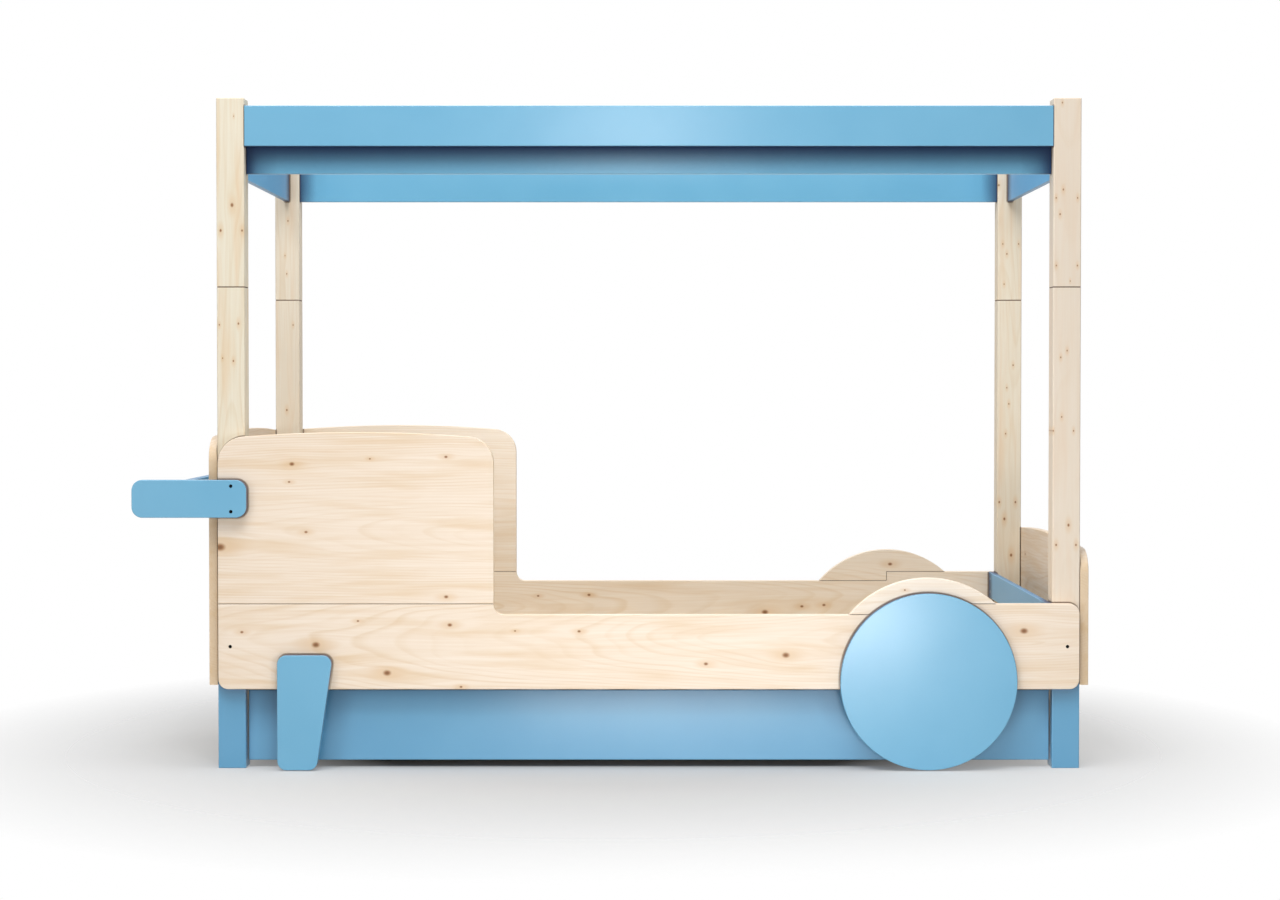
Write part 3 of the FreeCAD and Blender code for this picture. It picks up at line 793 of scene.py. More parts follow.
def loose_solids(node: str) -> list[list[Vector]]:
    """Find the separate solids of a CAD node.

    Args:
        node: the node's name.

    Returns:
        For each solid, the places of its corners.
    """
    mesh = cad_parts[node].data
    keys: dict[tuple[int, ...], int] = {}
    owner = []
    for vertex in mesh.vertices:
        key = tuple(round(value * CORNER_STEPS) for value in vertex.co)
        owner.append(keys.setdefault(key, len(keys)))
    leader = list(range(len(keys)))

    def find(item: int) -> int:
        """Find the number that leads a corner's solid.

        Args:
            item: the corner's number.

        Returns:
            The same number for all corners that are joined so far.
        """
        while leader[item] != item:
            leader[item] = leader[leader[item]]
            item = leader[item]
        return item

    for polygon in mesh.polygons:
        first = find(owner[polygon.vertices[0]])
        for other in polygon.vertices[1:]:
            leader[find(owner[other])] = first
    groups: dict[int, list[Vector]] = {}
    for vertex, number in zip(mesh.vertices, owner):
        groups.setdefault(find(number), []).append(vertex.co.copy())
    return list(groups.values())


def turned(
    shape: bmesh.types.BMesh,
    start: Vector,
    axis: Vector,
    rings: list[tuple[float, float | Radius]],
    segments: int,
    closed: bool = False,
) -> None:
    """Add a turned form, whose rings may also follow a radius that changes round the axis.

    Args:
        shape: the mesh that it goes into.
        start: the place from which the rings are measured.
        axis: the unit direction of the axis.
        rings: for each ring its distance along the axis and its radius.
        segments: how many corners a ring has.
        closed: True to join the last ring to the first, for a form with a bore.
    """
    turn = Vector((0, 0, 1)).rotation_difference(axis).to_matrix()
    loops = []
    for distance, radius in rings:
        loop = []
        for step in range(segments):
            angle = 2 * math.pi * step / segments
            size = radius(angle) if callable(radius) else radius
            spot = Vector((size * math.cos(angle), size * math.sin(angle), distance))
            loop.append(shape.verts.new(start + turn @ spot))
        loops.append(loop)
    pairs = list(zip(loops, loops[1:]))
    if closed:
        pairs.append((loops[-1], loops[0]))
    for lower, upper in pairs:
        for step in range(segments):
            after = (step + 1) % segments
            shape.faces.new((lower[step], lower[after], upper[after], upper[step]))
    if not closed:
        shape.faces.new(list(reversed(loops[0])))
        shape.faces.new(loops[-1])


def make_piece(name: str, shape: bmesh.types.BMesh, finishes: list[Material]) -> bpy.types.Object:
    """Turn a finished shape into an object in the scene.

    Args:
        name: the piece's name.
        shape: its mesh, which is used up.
        finishes: its materials.

    Returns:
        The new object.
    """
    bmesh.ops.recalc_face_normals(shape, faces=shape.faces)
    mesh = bpy.data.meshes.new(name)
    shape.to_mesh(mesh)
    shape.free()
    mesh.shade_smooth()
    mesh.set_sharp_from_angle(angle=CRISP_ANGLE)
    piece = bpy.data.objects.new(name, mesh)
    bpy.context.scene.collection.objects.link(piece)
    for finish in finishes:
        mesh.materials.append(finish)
    return piece


class Drive(Enum):
    """The recess that a fastener is turned by."""

    HEX_SOCKET = "hex socket"
    CROSS_RECESS = "cross recess"


@dataclass(frozen=True)
class FastenerKind:
    """A kind of fastener: its recess, the record's material slot, and the sizes of its head."""

    drive: Drive
    slot: str
    head_height_mm: float
    recess_depth_mm: float
    recess_size_mm: float
    # How much narrower the recess is at its floor
    taper: float


BOLT = FastenerKind(Drive.HEX_SOCKET, "blackened_steel", 5.0, 2.8, 4.0, 0.0)
SCREW = FastenerKind(Drive.CROSS_RECESS, "zinc_plated_steel", 2.6, 1.9, 4.2, 0.45)


@dataclass
class Fasteners:
    """The bolts or screws of one CAD node, with the recess that a key or driver goes into."""

    node: str
    body: str
    kind: FastenerKind
    rim_mm: float = 0.4
    # The mouth of the recess is this much wider than the recess
    mouth: float = 0.08
    tip_mm: float = 3.0
    tip_share: float = 0.35
    # Half width of an arm of the cross, as a share of its length
    arm_share: float = 0.3
    least_slant: float = 0.05
    # How much of the length counts as an end, and how far past its height the head may reach
    end_share: float = 0.04
    past_head: float = 1.2
    segments: int = 24

    def recess(self, shrink: float) -> Radius:
        """The outline of the recess as a radius round the axis.

        Args:
            shrink: how much narrower it is than its full size, from 0 to 1.

        Returns:
            A function from angle to radius, in metres.
        """
        size = self.kind.recess_size_mm * MM * (1 - shrink) / 2

        def hexagon(angle: float) -> float:
            """Radius of a six-sided socket."""
            sector = math.radians(60)
            return size / math.cos((angle % sector) - sector / 2)

        def cross(angle: float) -> float:
            """Radius of a cross with four blunt arms."""
            slant = min(abs(math.sin(angle)), abs(math.cos(angle)))
            return min(size, self.arm_share * size / max(slant, self.least_slant))

        return hexagon if self.kind.drive is Drive.HEX_SOCKET else cross

    def build(self, finish: Material) -> None:
        """Make the fasteners where the CAD solids are, as one piece that stands for the node.

        Args:
            finish: the metal's material.
        """
        shape = bmesh.new()
        for corners in loose_solids(self.node):
            self.turn_one(shape, corners)
        drive = self.kind.drive
        piece = make_piece("%s_with_%s" % (self.node, drive.name.lower()), shape, [finish])
        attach(piece, self.body)
        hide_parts(self.node)
        log.info("%s: %s", piece.name, drive.value)

    def turn_one(self, shape: bmesh.types.BMesh, corners: list[Vector]) -> None:
        """Add one fastener, with recess, head, shank and point, where its CAD solid lies.

        Args:
            shape: the mesh that it goes into.
            corners: the corners of the CAD solid.
        """
        low = Vector([min(corner[i] for corner in corners) for i in range(3)])
        high = Vector([max(corner[i] for corner in corners) for i in range(3)])
        size = high - low
        way = max(range(3), key=lambda i: size[i])
        others = [i for i in range(3) if i != way]
        middle = (low + high) / 2
        length = size[way]

        def girth(near: float, far: float) -> float:
            """The widest place between two distances from the low end."""
            part = [corner for corner in corners if near < corner[way] - low[way] < far]
            return max(abs(corner[i] - middle[i]) for corner in part for i in others)

        end = self.end_share * length
        neck = self.kind.head_height_mm * MM
        past_neck = neck * self.past_head
        axis = Vector((0, 0, 0))
        axis[way] = 1.0
        start = middle.copy()
        start[way] = low[way]
        shank_part = (past_neck, 2 * length)
        if girth(length - end, 2 * length) > girth(-length, end):
            start[way] = high[way]
            axis.negate()
            shank_part = (-length, length - past_neck)
        head_radius = max(size[i] for i in others) / 2
        shank_radius = girth(*shank_part)
        rim = self.rim_mm * MM
        rings: list[tuple[float, float | Radius]] = [
            (self.kind.recess_depth_mm * MM, self.recess(self.kind.taper)),
            (rim / 2, self.recess(0.0)),
            (0.0, self.recess(-self.mouth)),
        ]
        if self.kind.drive is Drive.HEX_SOCKET:
            rings += [(0.0, head_radius - rim), (rim, head_radius), (neck, head_radius), (neck, shank_radius)]
        else:
            rings += [(0.0, head_radius - rim / 4), (rim / 4, head_radius), (neck, shank_radius)]
        rings += [(length - self.tip_mm * MM, shank_radius), (length, shank_radius * self.tip_share)]
        turned(shape, start, axis, rings, self.segments)


class SubAssembly:
    """What every sub-assembly of the bed can do."""

    def paint(self, finish: Material, *nodes: str) -> None:
        """Give CAD nodes a finish in place of their plain one.

        Args:
            finish: the material.
            nodes: the nodes' names.
        """
        for node in nodes:
            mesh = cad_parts[node].data
            mesh.materials.clear()
            mesh.materials.append(finish)
            log.info("%s: %s", node, finish.name)

    def saw(self, spruce: Spruce, board: Board) -> None:
        """Give a board the figure of its own log."""
        self.paint(spruce.material(board), board.node)


@dataclass
class Posts(SubAssembly):
    """Four posts, each a sprayed leg, a post and a post top in one line."""

    middle_x_mm: dict[str, float] = field(default_factory=lambda: {"nose": -960.5, "tail": 1145.5})
    middle_y_mm: float = 431.0
    # Where the pith lies beside the middle of a post and of a post top, and how it slopes
    pith_across_mm: dict[str, float] = field(default_factory=lambda: {"post": 12.0, "post_top": -9.0})
    pith_slope: dict[str, float] = field(default_factory=lambda: {"post": -0.03, "post_top": 0.03})
    pith_inward_mm: float = 46.0
    pith_height_mm: float = 1000.0
    first_seed: float = 1.0
    seed_step: float = 1.7
    warmth: dict[str, float] = field(
        default_factory=lambda: {"front_nose": 0.0, "rear_nose": 0.3, "front_tail": 0.6, "rear_tail": 0.2}
    )
    knots: dict[str, tuple[Knot, ...]] = field(
        default_factory=lambda: {
            "post_top_front_nose": knots(
                (1357, -985, 3.8), (1357, -931, 3.0), (1644, -951, 1.5), (1421, -956, 5.2)
            ),
            "post_front_nose": knots(
                (1029, -954, 2.6), (1036, -981, 1.9), (1123, -941, 3.0), (1120, -989, 2.2)
            ),
            "post_top_rear_nose": knots((1446, -958, 2.6), (1345, -967, 1.7), (1292, -962, 2.2)),
            "post_rear_nose": knots((895, -963, 3.1), (1143, -944, 2.2)),
            "post_top_rear_tail": knots(
                (1550, 1113, 3.3), (1379, 1125, 2.2), (1379, 1171, 2.2), (1350, 1137, 2.6), (1262, 1129, 2.2)
            ),
            "post_rear_tail": knots(
                (1026, 1156, 2.6), (960, 1138, 2.2), (913, 1144, 2.6), (826, 1135, 2.6),
                (626, 1117, 3.5), (626, 1164, 3.5), (577, 1132, 4.3), (471, 1152, 4.8),
            ),
            "post_top_front_tail": knots(
                (1460, 1135, 2.6), (1439, 1117, 2.2), (1439, 1171, 2.2), (1398, 1127, 2.6),
                (1269, 1118, 2.2), (1269, 1171, 2.2), (1230, 1153, 1.7), (1678, 1132, 2.2),
            ),
            "post_front_tail": knots(
                (1055, 1146, 2.2), (1038, 1130, 2.2), (888, 1133, 2.2), (853, 1112, 2.2),
                (853, 1163, 2.2), (615, 1151, 3.8), (565, 1120, 3.0), (565, 1170, 3.0),
            ),
        }
    )

    def dress(self, spruce: Spruce, blue: Material) -> None:
        """Give the posts their grain and the legs their lacquer.

        Args:
            spruce: the timber of the posts.
            blue: the lacquer of the legs, a darker copy as painted shade.
        """
        seed = self.first_seed
        for side, sign in zip(SIDES, (-1, 1)):
            for end in ENDS:
                corner = "%s_%s" % (side, end)
                for kind in ("post", "post_top"):
                    node = "%s_%s" % (kind, corner)
                    seed += self.seed_step
                    low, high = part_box(node)
                    board = Board(
                        node,
                        Grain.UPRIGHT,
                        seed,
                        self.middle_x_mm[end] + self.pith_across_mm[kind],
                        sign * (self.middle_y_mm - self.pith_inward_mm),
                        pith_slope=self.pith_slope[kind],
                        pith_along_mm=self.pith_height_mm,
                        warmth=self.warmth[corner],
                        seam_mm=(high if kind == "post" else low).z * PER_MM,
                        knots=self.knots[node],
                    )
                    self.saw(spruce, board)
                self.paint(blue, "leg_%s" % corner)


@dataclass
class TruckSides(SubAssembly):
    """Side boards with their bolts, hood panels, fenders, and the rear wheel disc and plate."""

    face_y_mm: float = 471.0
    pith_depth_mm: float = 62.0
    # For each kind of board the height of the pith, its slope, and where along the bed it starts
    logs: tuple[tuple[str, float, float, float], ...] = (
        ("side_board", 325.0, 0.075, 180.0),
        ("hood_panel", 600.0, 0.05, -900.0),
        ("fender", 380.0, 0.06, 500.0),
    )
    first_seed: float = 20.0
    seed_step: float = 2.3
    knots: dict[str, tuple[Knot, ...]] = field(
        default_factory=lambda: {
            "hood_panel_front": knots(
                (-417, 788, 4.0), (-769, 599, 4.0), (-985, 561, 12.0), (-804, 770, 6.0), (-417, 436, 5.0),
                (-811, 725, 3.0), (-608, 783, 2.5),
            ),
            "hood_panel_rear": knots((-520, 740, 5.0), (-760, 640, 8.0), (-900, 500, 4.0), (-410, 560, 4.0)),
            "side_board_front": knots(
                (-931, 347, 4.0), (-745, 315, 9.0), (-566, 244, 9.0), (-639, 375, 3.0), (-408, 365, 5.5),
                (-380, 209, 3.5), (-83, 349, 4.0), (437, 289, 8.5), (236, 267, 5.0), (-244, 350, 2.5),
                (1036, 350, 9.0),
            ),
            "side_board_rear": knots(
                (-83, 349, 4.7), (610, 319, 4.7), (545, 315, 4.7), (436, 298, 8.8), (-233, 346, 3.5),
                (-700, 280, 7.0), (980, 300, 8.0),
            ),
            "fender_front": knots((736, 453, 2.5)),
            "fender_rear": knots((805, 440, 5.9)),
        }
    )

    def dress(self, spruce: Spruce, lit_spruce: Spruce, blue: Material) -> None:
        """Give the boards their grain and the rear disc and plate their lacquer.

        Args:
            spruce: the timber of the front side board and hood panel.
            lit_spruce: a lighter copy of the timber for the rear boards and both fenders, as painted light.
            blue: the lacquer.
        """
        seed = self.first_seed
        for side, sign in zip(SIDES, (-1, 1)):
            for kind, pith_height, slope, start in self.logs:
                node = "%s_%s" % (kind, side)
                seed += self.seed_step
                board = Board(
                    node,
                    Grain.LENGTHWISE,
                    seed,
                    pith_height,
                    sign * (self.face_y_mm - self.pith_depth_mm),
                    pith_slope=slope,
                    pith_along_mm=start,
                    knots=self.knots[node],
                )
                # The rear boards and fenders get the lighter copy of the spruce, as painted light
                self.saw(lit_spruce if side == "rear" or kind == "fender" else spruce, board)
        self.paint(blue, "wheel_disc_rear", "plate_rear")

    def build(self, steel: Material) -> None:
        """Make the side board bolts."""
        Fasteners("side_board_bolts", "bed_frame", BOLT).build(steel)


@dataclass
class EndBoards(SubAssembly):
    """Boards across the nose and the tail with their bolts, and the sprayed rails inside them."""

    face_x_mm: float = 1099.0
    centre_x_mm: float = 92.5
    pith_depth_mm: float = 70.0
    pith_slope: float = 0.07
    # For each board its side of the middle, its seed and the height of its pith
    logs: tuple[tuple[str, int, float, float], ...] = (
        ("nose_board", -1, 46.0, 560.0),
        ("tail_board", 1, 54.0, 400.0),
    )
    knots: dict[str, tuple[Knot, ...]] = field(
        default_factory=lambda: {
            "nose_board": knots((-210, 640, 7.0), (160, 420, 9.0), (300, 730, 5.0), (-60, 300, 5.0)),
            "tail_board": knots((-150, 430, 6.0), (240, 330, 9.0), (330, 480, 4.0)),
        }
    )

    def dress(self, spruce: Spruce, blue: Material) -> None:
        """Give the boards their grain and the rails their lacquer.

        Args:
            spruce: the timber of the boards.
            blue: the lacquer of the rails.
        """
        for node, sign, seed, pith_height in self.logs:
            through = self.centre_x_mm + sign * (self.face_x_mm - self.pith_depth_mm)
            board = Board(
                node,
                Grain.CROSSWISE,
                seed,
                pith_height,
                through,
                pith_slope=self.pith_slope,
                knots=self.knots[node],
            )
            self.saw(spruce, board)
        self.paint(blue, "end_rail_nose", "end_rail_tail")

    def build(self, steel: Material) -> None:
        """Make the end board bolts."""
        Fasteners("end_board_bolts", "bed_frame", BOLT).build(steel)


@dataclass
class CanopyFrame(SubAssembly):
    """Sprayed rails between the post tops, and a fascia outside each long rail."""

    long_pieces: tuple[str, ...] = ("canopy_rail_rear", "canopy_fascia_front", "canopy_fascia_rear")
    cross_pieces: tuple[str, ...] = ("canopy_rail_nose", "canopy_rail_tail")

    def dress(self, blue_forward: Material, blue_shaded: Material, blue_endways: Material) -> None:
        """Give the rails and fascias their lacquer.

        Args:
            blue_forward: the lacquer of boards that face the sides.
            blue_shaded: the lacquer of the rail behind the front fascia.
            blue_endways: the lacquer of boards that face the ends.
        """
        self.paint(blue_forward, *self.long_pieces)
        self.paint(blue_shaded, "canopy_rail_front")
        self.paint(blue_endways, *self.cross_pieces)


@dataclass
class Bumper(SubAssembly):
    """Two sprayed arms bolted through the hood panels, and a board between their tips."""

    arms: tuple[str, ...] = ("bumper_arm_front", "bumper_arm_rear")

    def dress(self, blue_forward: Material, blue_endways: Material) -> None:
        """Give the arms and the board their lacquer.

        Args:
            blue_forward: the lacquer of boards that face the sides.
            blue_endways: the lacquer of boards that face the ends.
        """
        self.paint(blue_forward, *self.arms)
        self.paint(blue_endways, "bumper_board")

    def build(self, steel: Material) -> None:
        """Make the bumper bolts."""
        Fasteners("bumper_bolts", "bed_frame", BOLT).build(steel)


@dataclass
class SlatBase(SubAssembly):
    """Bare slats screwed to battens along the side boards."""

    slats: Board = Board(
        "slats",
        Grain.SLAT,
        seed=70.0,
        pith_across_mm=40.0,
        pith_through_mm=180.0,
        each_differs=True,
        knots=knots((700, -640, 5.0), (1900, 180, 6.0), (3100, 820, 5.0), (4300, -180, 7.0)),
    )
    batten_seeds: Pair = (73.0, 76.0)
    batten_pith_mm: Pair = (205.0, 420.0)
    batten_slope: float = 0.02

    def dress(self, bare: Spruce, beech: Material) -> None:
        """Give the slats and battens their bare wood, and the dowels theirs.

        Args:
            bare: the unlacquered timber.
            beech: the material of the dowels.
        """
        self.saw(bare, self.slats)
        for seed, side in zip(self.batten_seeds, SIDES):
            node = "slat_batten_%s" % side
            slope = self.batten_slope
            self.saw(bare, Board(node, Grain.LENGTHWISE, seed, *self.batten_pith_mm, pith_slope=slope))
        self.paint(beech, "dowels")

    def build(self, zinc: Material) -> None:
        """Make the wood screws of the frame."""
        Fasteners("wood_screws", "bed_frame", SCREW).build(zinc)


@dataclass
class Drawer(SubAssembly):
    """The drawer box, and the wheel disc and slanted plate that it is pulled out by."""

    pulls: tuple[str, ...] = ("wheel_disc_front", "plate_front", "wheel_spacer", "plate_spacer")
    end_seeds: Pair = (81.0, 84.0)
    end_pith_mm: Pair = (90.0, 900.0)
    end_slope: float = 0.04
    bearers: Board = Board(
        "drawer_bearers",
        Grain.SLAT,
        seed=87.0,
        pith_across_mm=10.0,
        pith_through_mm=120.0,
        each_differs=True,
    )

    def dress(
        self, bare: Spruce, front_blue: Material, blue: Material, plywood: Material, beech: Material
    ) -> None:
        """Give the drawer's boards their finishes.

        Args:
            bare: the unlacquered timber of the ends and bearers.
            front_blue: the lacquer of the front and the back, a darker copy as painted shade.
            blue: the lacquer of the pulls.
            plywood: the material of the bottom.
            beech: the material of the dowels.
        """
        self.paint(front_blue, "drawer_front", "drawer_back")
        self.paint(blue, *self.pulls)
        self.paint(plywood, "drawer_bottom")
        self.paint(beech, "drawer_dowels")
        for seed, end in zip(self.end_seeds, ENDS):
            node = "drawer_end_%s" % end
            self.saw(bare, Board(node, Grain.CROSSWISE, seed, *self.end_pith_mm, pith_slope=self.end_slope))
        self.saw(bare, self.bearers)

    def build(self, zinc: Material) -> None:
        """Make the long screws that hold the pulls."""
        Fasteners("pull_screws", "drawer", SCREW).build(zinc)


@dataclass
class Castors(SubAssembly):
    """Four fixed castors: pressed brackets, riveted axles, and wheels with a soft tread."""

    radius_mm: float = 18.0
    half_width_mm: float = 8.0
    bore_mm: float = 2.55
    bore_bevel_mm: float = 0.4
    hub_mm: float = 7.6
    hub_bevel_mm: float = 0.5
    # The wheel is dished between hub and tread, with a sloped foot on each side
    dish_mm: float = 2.0
    hub_foot_mm: float = 0.8
    tread_foot_mm: float = 0.9
    tread_mm: float = 13.0
    # The tread starts at a small lip
    lip_mm: float = 0.3
    lip_half_mm: float = 0.2
    shoulder_mm: float = 3.0
    round_steps: int = 4
    segments: int = 48

    def dress(self, zinc: Material) -> None:
        """Give the brackets and axles their plating."""
        self.paint(zinc, "castor_brackets", "castor_axles")

    def half_profile(self) -> list[Pair]:
        """Half of the wheel's section, from the bore outward to the middle of the tread.

        Returns:
            Pairs of distance from the middle plane and radius, in millimetres.
        """
        half = self.half_width_mm
        section = [
            (half - self.bore_bevel_mm, self.bore_mm),
            (half, self.bore_mm + self.bore_bevel_mm),
            (half, self.hub_mm - self.hub_bevel_mm),
            (half - self.hub_bevel_mm, self.hub_mm),
            (half - self.dish_mm, self.hub_mm + self.hub_foot_mm),
            (half - self.dish_mm, self.tread_mm - self.tread_foot_mm),
            (half - self.lip_mm, self.tread_mm - self.lip_half_mm),
            (half, self.tread_mm + self.lip_half_mm),
        ]
        for step in range(self.round_steps + 1):
            turn = math.pi / 2 * step / self.round_steps
            out = half - self.shoulder_mm * (1 - math.cos(turn))
            section.append((out, self.radius_mm - self.shoulder_mm * (1 - math.sin(turn))))
        return section

    def build(self, nylon: Material, tread: Material) -> None:
        """Make the four wheels.

        Args:
            nylon: the material of the hubs.
            tread: the material of the treads.
        """
        half = self.half_profile()
        section = half + [(-out, radius) for out, radius in reversed(half)]
        rings = [(out * MM, radius * MM) for out, radius in section]
        for side in SIDES:
            for end in ENDS:
                node = "castor_wheel_%s_%s" % (side, end)
                low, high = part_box(node)
                centre = (low + high) / 2
                shape = bmesh.new()
                turned(shape, centre, Vector((1, 0, 0)), rings, self.segments, closed=True)
                for face in shape.faces:
                    away = face.calc_center_median() - centre
                    face.material_index = int(math.hypot(away.y, away.z) > self.tread_mm * MM)
                piece = make_piece("%s_with_tread" % node, shape, [nylon, tread])
                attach(piece, node)
                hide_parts(node)
                log.info("%s: turned section", piece.name)


@dataclass(frozen=True)
class Lamp:
    """One softbox: place, target, width and height in metres, watts, and if it shows in gloss."""

    name: str
    place: Triple
    target: Triple
    size: Pair
    watts: float
    mirrored: bool = True


@dataclass
class Studio:
    """A white studio: paper floor, soft lamps and the camera."""

    floor_reach: float = 9.0
    floor_colour: str = "#BFBFBF"
    # The floor fades out between these distances, in an oval that is longer along the bed
    fade_start: float = 0.64
    fade_end: float = 1.75
    fade_oval: Triple = (0.9, 1.0, 1.0)
    # Paper tooth is well under 1 mm, too fine for the picture, so it is drawn coarser
    tooth_mm: float = 2.5
    tooth_depth_mm: float = 0.2
    tooth_strength: float = 0.05
    ambient: float = 0.17
    camera_place: Triple = (0.08645, -5.90985, 0.9706)
    camera_dip: float = 0.0192
    sensor_mm: float = 36.0
    focal_px: float = 2162.9
    picture_px: tuple[int, int] = (1280, 900)
    axis_px: Pair = (646.45, 425.66)
    lamps: tuple[Lamp, ...] = (
        Lamp("main_softbox", (-1.1, -4.0, 6.8), (0.0, 0.0, 0.7), (5.0, 2.0), 270.0),
        Lamp("overhead_softbox", (0.1, -1.1, 4.2), (0.1, -0.9, 0.0), (4.0, 1.6), 100.0),
        Lamp("upper_softbox", (0.05, -2.8, 1.85), (0.05, 0.0, 1.4), (0.55, 0.35), 4.6),
        Lamp("wheel_softbox", (0.77, -2.2, 0.24), (0.69, 0.0, 0.24), (0.36, 0.3), 5.7),
        Lamp("drawer_softbox", (0.08, -2.0, 0.06), (0.08, 0.0, 0.06), (0.8, 0.1), 5.2),
        Lamp("rear_softbox", (0.3, 4.8, 2.4), (0.0, 0.0, 0.7), (3.0, 1.6), 95.0, mirrored=False),
        Lamp("side_softbox", (-2.6, -2.6, 0.8), (-0.8, 0.0, 0.5), (1.0, 1.0), 11.0),
    )

    def build_floor(self) -> None:
        """Lay a floor that takes the bed's shadow and fades into the white behind."""
        made, tree = new_material("seamless_paper_white_matt")
        place = add_node(tree, "ShaderNodeTexCoord", output="Object")
        oval = add_node(tree, "ShaderNodeVectorMath", {0: place, 1: self.fade_oval}, operation="MULTIPLY")
        away = add_node(tree, "ShaderNodeVectorMath", {0: oval}, output="Value", operation="LENGTH")
        fade = add_node(
            tree,
            "ShaderNodeMapRange",
            {"Value": away, "From Min": self.fade_start, "From Max": self.fade_end},
        )
        fade = add_node(tree, "ShaderNodeMath", {0: fade, 1: looked_at(tree)}, operation="MULTIPLY")
        scale = PER_MM / self.tooth_mm
        tooth = add_node(tree, "ShaderNodeTexNoise", {"Vector": place, "Scale": scale, "Detail": 2.0})
        bump = add_node(
            tree,
            "ShaderNodeBump",
            {"Strength": self.tooth_strength, "Distance": self.tooth_depth_mm * MM, "Height": tooth},
        )
        paper = add_node(
            tree, "ShaderNodeBsdfDiffuse", {"Color": linear(self.floor_colour), "Normal": bump}
        )
        clear = add_node(tree, "ShaderNodeBsdfTransparent")
        surface = add_node(tree, "ShaderNodeMixShader", {0: fade, 1: paper, 2: clear})
        add_node(tree, "ShaderNodeOutputMaterial", {"Surface": surface})
        shape = bmesh.new()
        bmesh.ops.create_grid(shape, x_segments=2, y_segments=2, size=self.floor_reach)
        floor = make_piece("studio_floor", shape, [made])
        log.info("%s: %s", floor.name, made.name)

    def light(self) -> None:
        """Hang the lamps and set the white surround."""
        world = bpy.data.worlds.new("white_surround")
        bpy.context.scene.world = world
        world.use_nodes = True
        tree = world.node_tree
        tree.nodes.clear()
        glow = add_node(tree, "ShaderNodeMapRange", {"Value": looked_at(tree), "To Min": self.ambient})
        white = add_node(tree, "ShaderNodeBackground", {"Color": linear("#FFFFFF"), "Strength": glow})
        add_node(tree, "ShaderNodeOutputWorld", {"Surface": white})
        for lamp in self.lamps:
            softbox = bpy.data.lights.new(lamp.name, "AREA")
            softbox.shape = "RECTANGLE"
            softbox.size, softbox.size_y = lamp.size
            softbox.energy = lamp.watts
            hung = bpy.data.objects.new(lamp.name, softbox)
            hung.location = lamp.place
            hung.visible_camera = False
            hung.visible_glossy = lamp.mirrored
            aim = Vector(lamp.target) - Vector(lamp.place)
            hung.rotation_euler = aim.to_track_quat("-Z", "Y").to_euler()
            bpy.context.scene.collection.objects.link(hung)
            log.info("%s: %.1f W", hung.name, softbox.energy)

    def aim_camera(self) -> None:
        """Set the camera where the photograph was taken from."""
        lens = bpy.data.cameras.new("front_camera")
        lens.sensor_fit = "HORIZONTAL"
        lens.sensor_width = self.sensor_mm
        width, height = self.picture_px
        lens.lens = self.focal_px / width * self.sensor_mm
        lens.shift_x = (width / 2 - self.axis_px[0]) / width
        lens.shift_y = (self.axis_px[1] - height / 2) / width
        camera = bpy.data.objects.new("front_camera", lens)
        camera.location = self.camera_place
        camera.rotation_euler = (math.pi / 2 - self.camera_dip, 0.0, 0.0)
        bpy.context.scene.collection.objects.link(camera)
        bpy.context.scene.camera = camera
        log.info("%s: %.1f mm", camera.name, lens.lens)


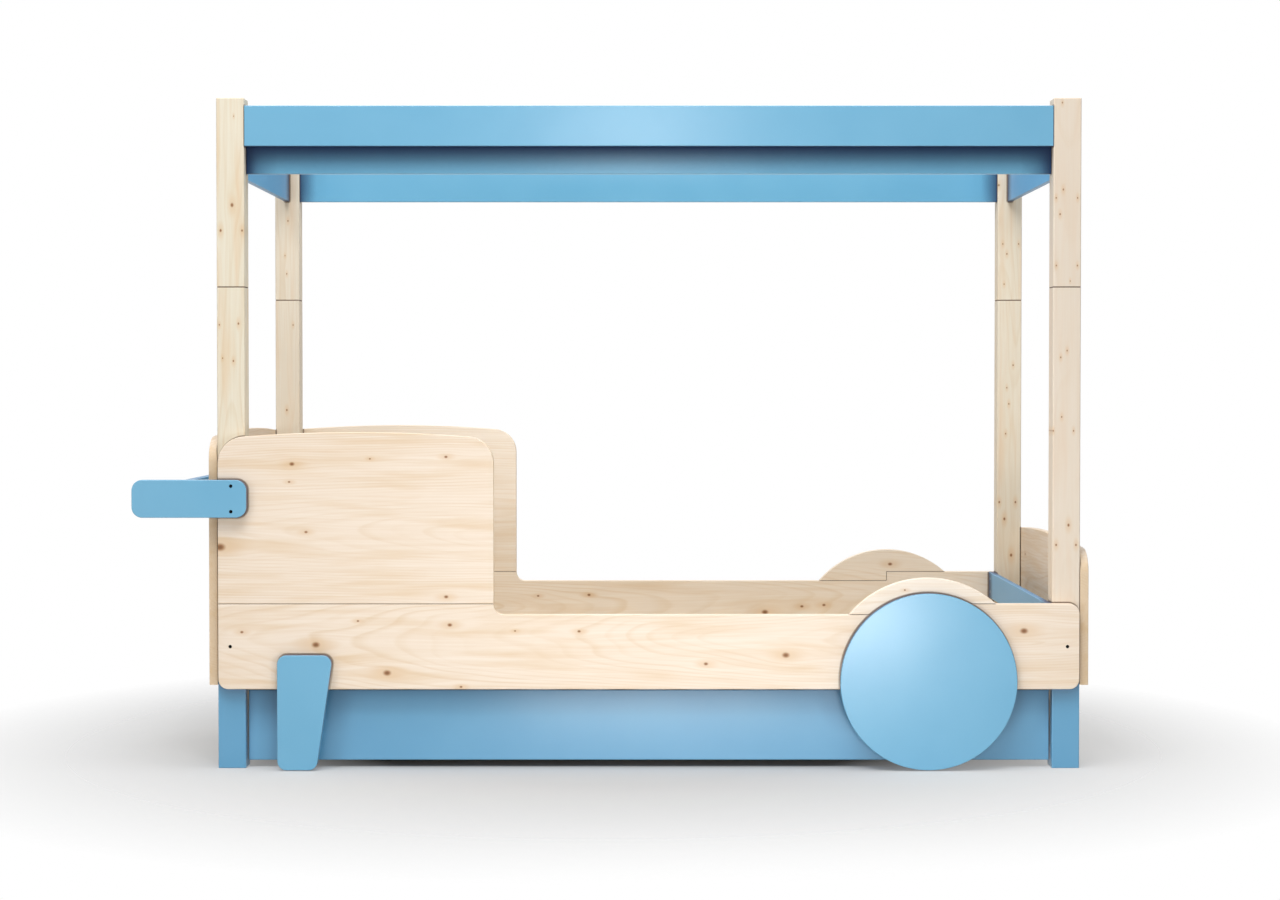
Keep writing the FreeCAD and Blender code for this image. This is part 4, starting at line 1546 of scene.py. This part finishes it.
def main() -> None:
    """Build and dress the bed, piece by piece, in its white studio."""
    logging.basicConfig(level=logging.INFO, format="%(name)s %(message)s")
    bpy.context.scene.view_settings.view_transform = "Standard"
    studio = Studio()
    studio.aim_camera()
    studio.build_floor()
    studio.light()

    lacquered = Spruce()
    # In the photograph the posts look greyer than the boards, and the rear boards and fenders paler.
    # The rear boards and fenders get a lighter copy of the spruce, which is painted light.
    post_spruce = Spruce(name="grey_spruce_planed_clear_lacquered", early="#EBE3D0", late="#D9C4A0")
    lit_spruce = Spruce(
        name="pale_spruce_planed_clear_lacquered", early="#F9EEE0", late="#E6CFB0", honey="#E9D2B4"
    )
    bare = Spruce(
        name="spruce_planed_bare", early="#EFDFC0", late="#D9BB8C", roughness=0.6, coat=0.0, relief_mm=0.2
    )
    blue_forward = SprayedLacquer().material(Face.FORWARD)
    # The boards across the bed look duller in the photograph
    dull = SprayedLacquer(
        name="fibreboard_sprayed_dull_blue", blue="#70AEDC", pale="#74B2DE", edge="#48698A",
        coat=0.1, index=1.3,
    )
    blue_endways = dull.material(Face.ENDWAYS)
    # The rail behind the front fascia shines less in the photograph; this copy of the lacquer, with less
    # sheen that also fades in its recess, is painted shade under the fascia
    shaded_rail_lacquer = SprayedLacquer(name="fibreboard_sprayed_thin_blue", coat=0.65, sheen_fades=True)
    # The drawer front looks a deeper blue in the photograph; this darker copy of the lacquer is painted shade
    # on the front, recessed under the side board
    shaded_drawer_lacquer = SprayedLacquer(
        name="fibreboard_sprayed_deep_blue", blue="#5F9FC5", pale="#64A3C8", sheen_fades=True
    )
    # The legs are taken to be solid wood, and look a little darker in the photograph; this darker copy of the
    # lacquer is painted shade on the legs, under the side boards
    legs = SprayedLacquer(name="solid_wood_sprayed_satin_blue", blue="#5B9EC4", pale="#5FA1C7")
    steel = BLACKENED_STEEL.material()
    zinc = ZINC_PLATE.material()
    beech = BEECH_DOWEL.material()

    Posts().dress(post_spruce, legs.material(Face.FORWARD))
    sides = TruckSides()
    sides.dress(lacquered, lit_spruce, blue_forward)
    sides.build(steel)
    ends = EndBoards()
    ends.dress(lacquered, blue_endways)
    ends.build(steel)
    CanopyFrame().dress(blue_forward, shaded_rail_lacquer.material(Face.FORWARD), blue_endways)
    bumper = Bumper()
    bumper.dress(blue_forward, blue_endways)
    bumper.build(steel)
    slat_base = SlatBase()
    slat_base.dress(bare, beech)
    slat_base.build(zinc)
    drawer = Drawer()
    drawer.dress(bare, shaded_drawer_lacquer.material(Face.FORWARD), blue_forward, BIRCH_PLYWOOD.material(), beech)
    drawer.build(zinc)
    castors = Castors()
    castors.dress(zinc)
    castors.build(CASTOR_NYLON.material(), CASTOR_TREAD.material())


if __name__ == "__main__":
    main()
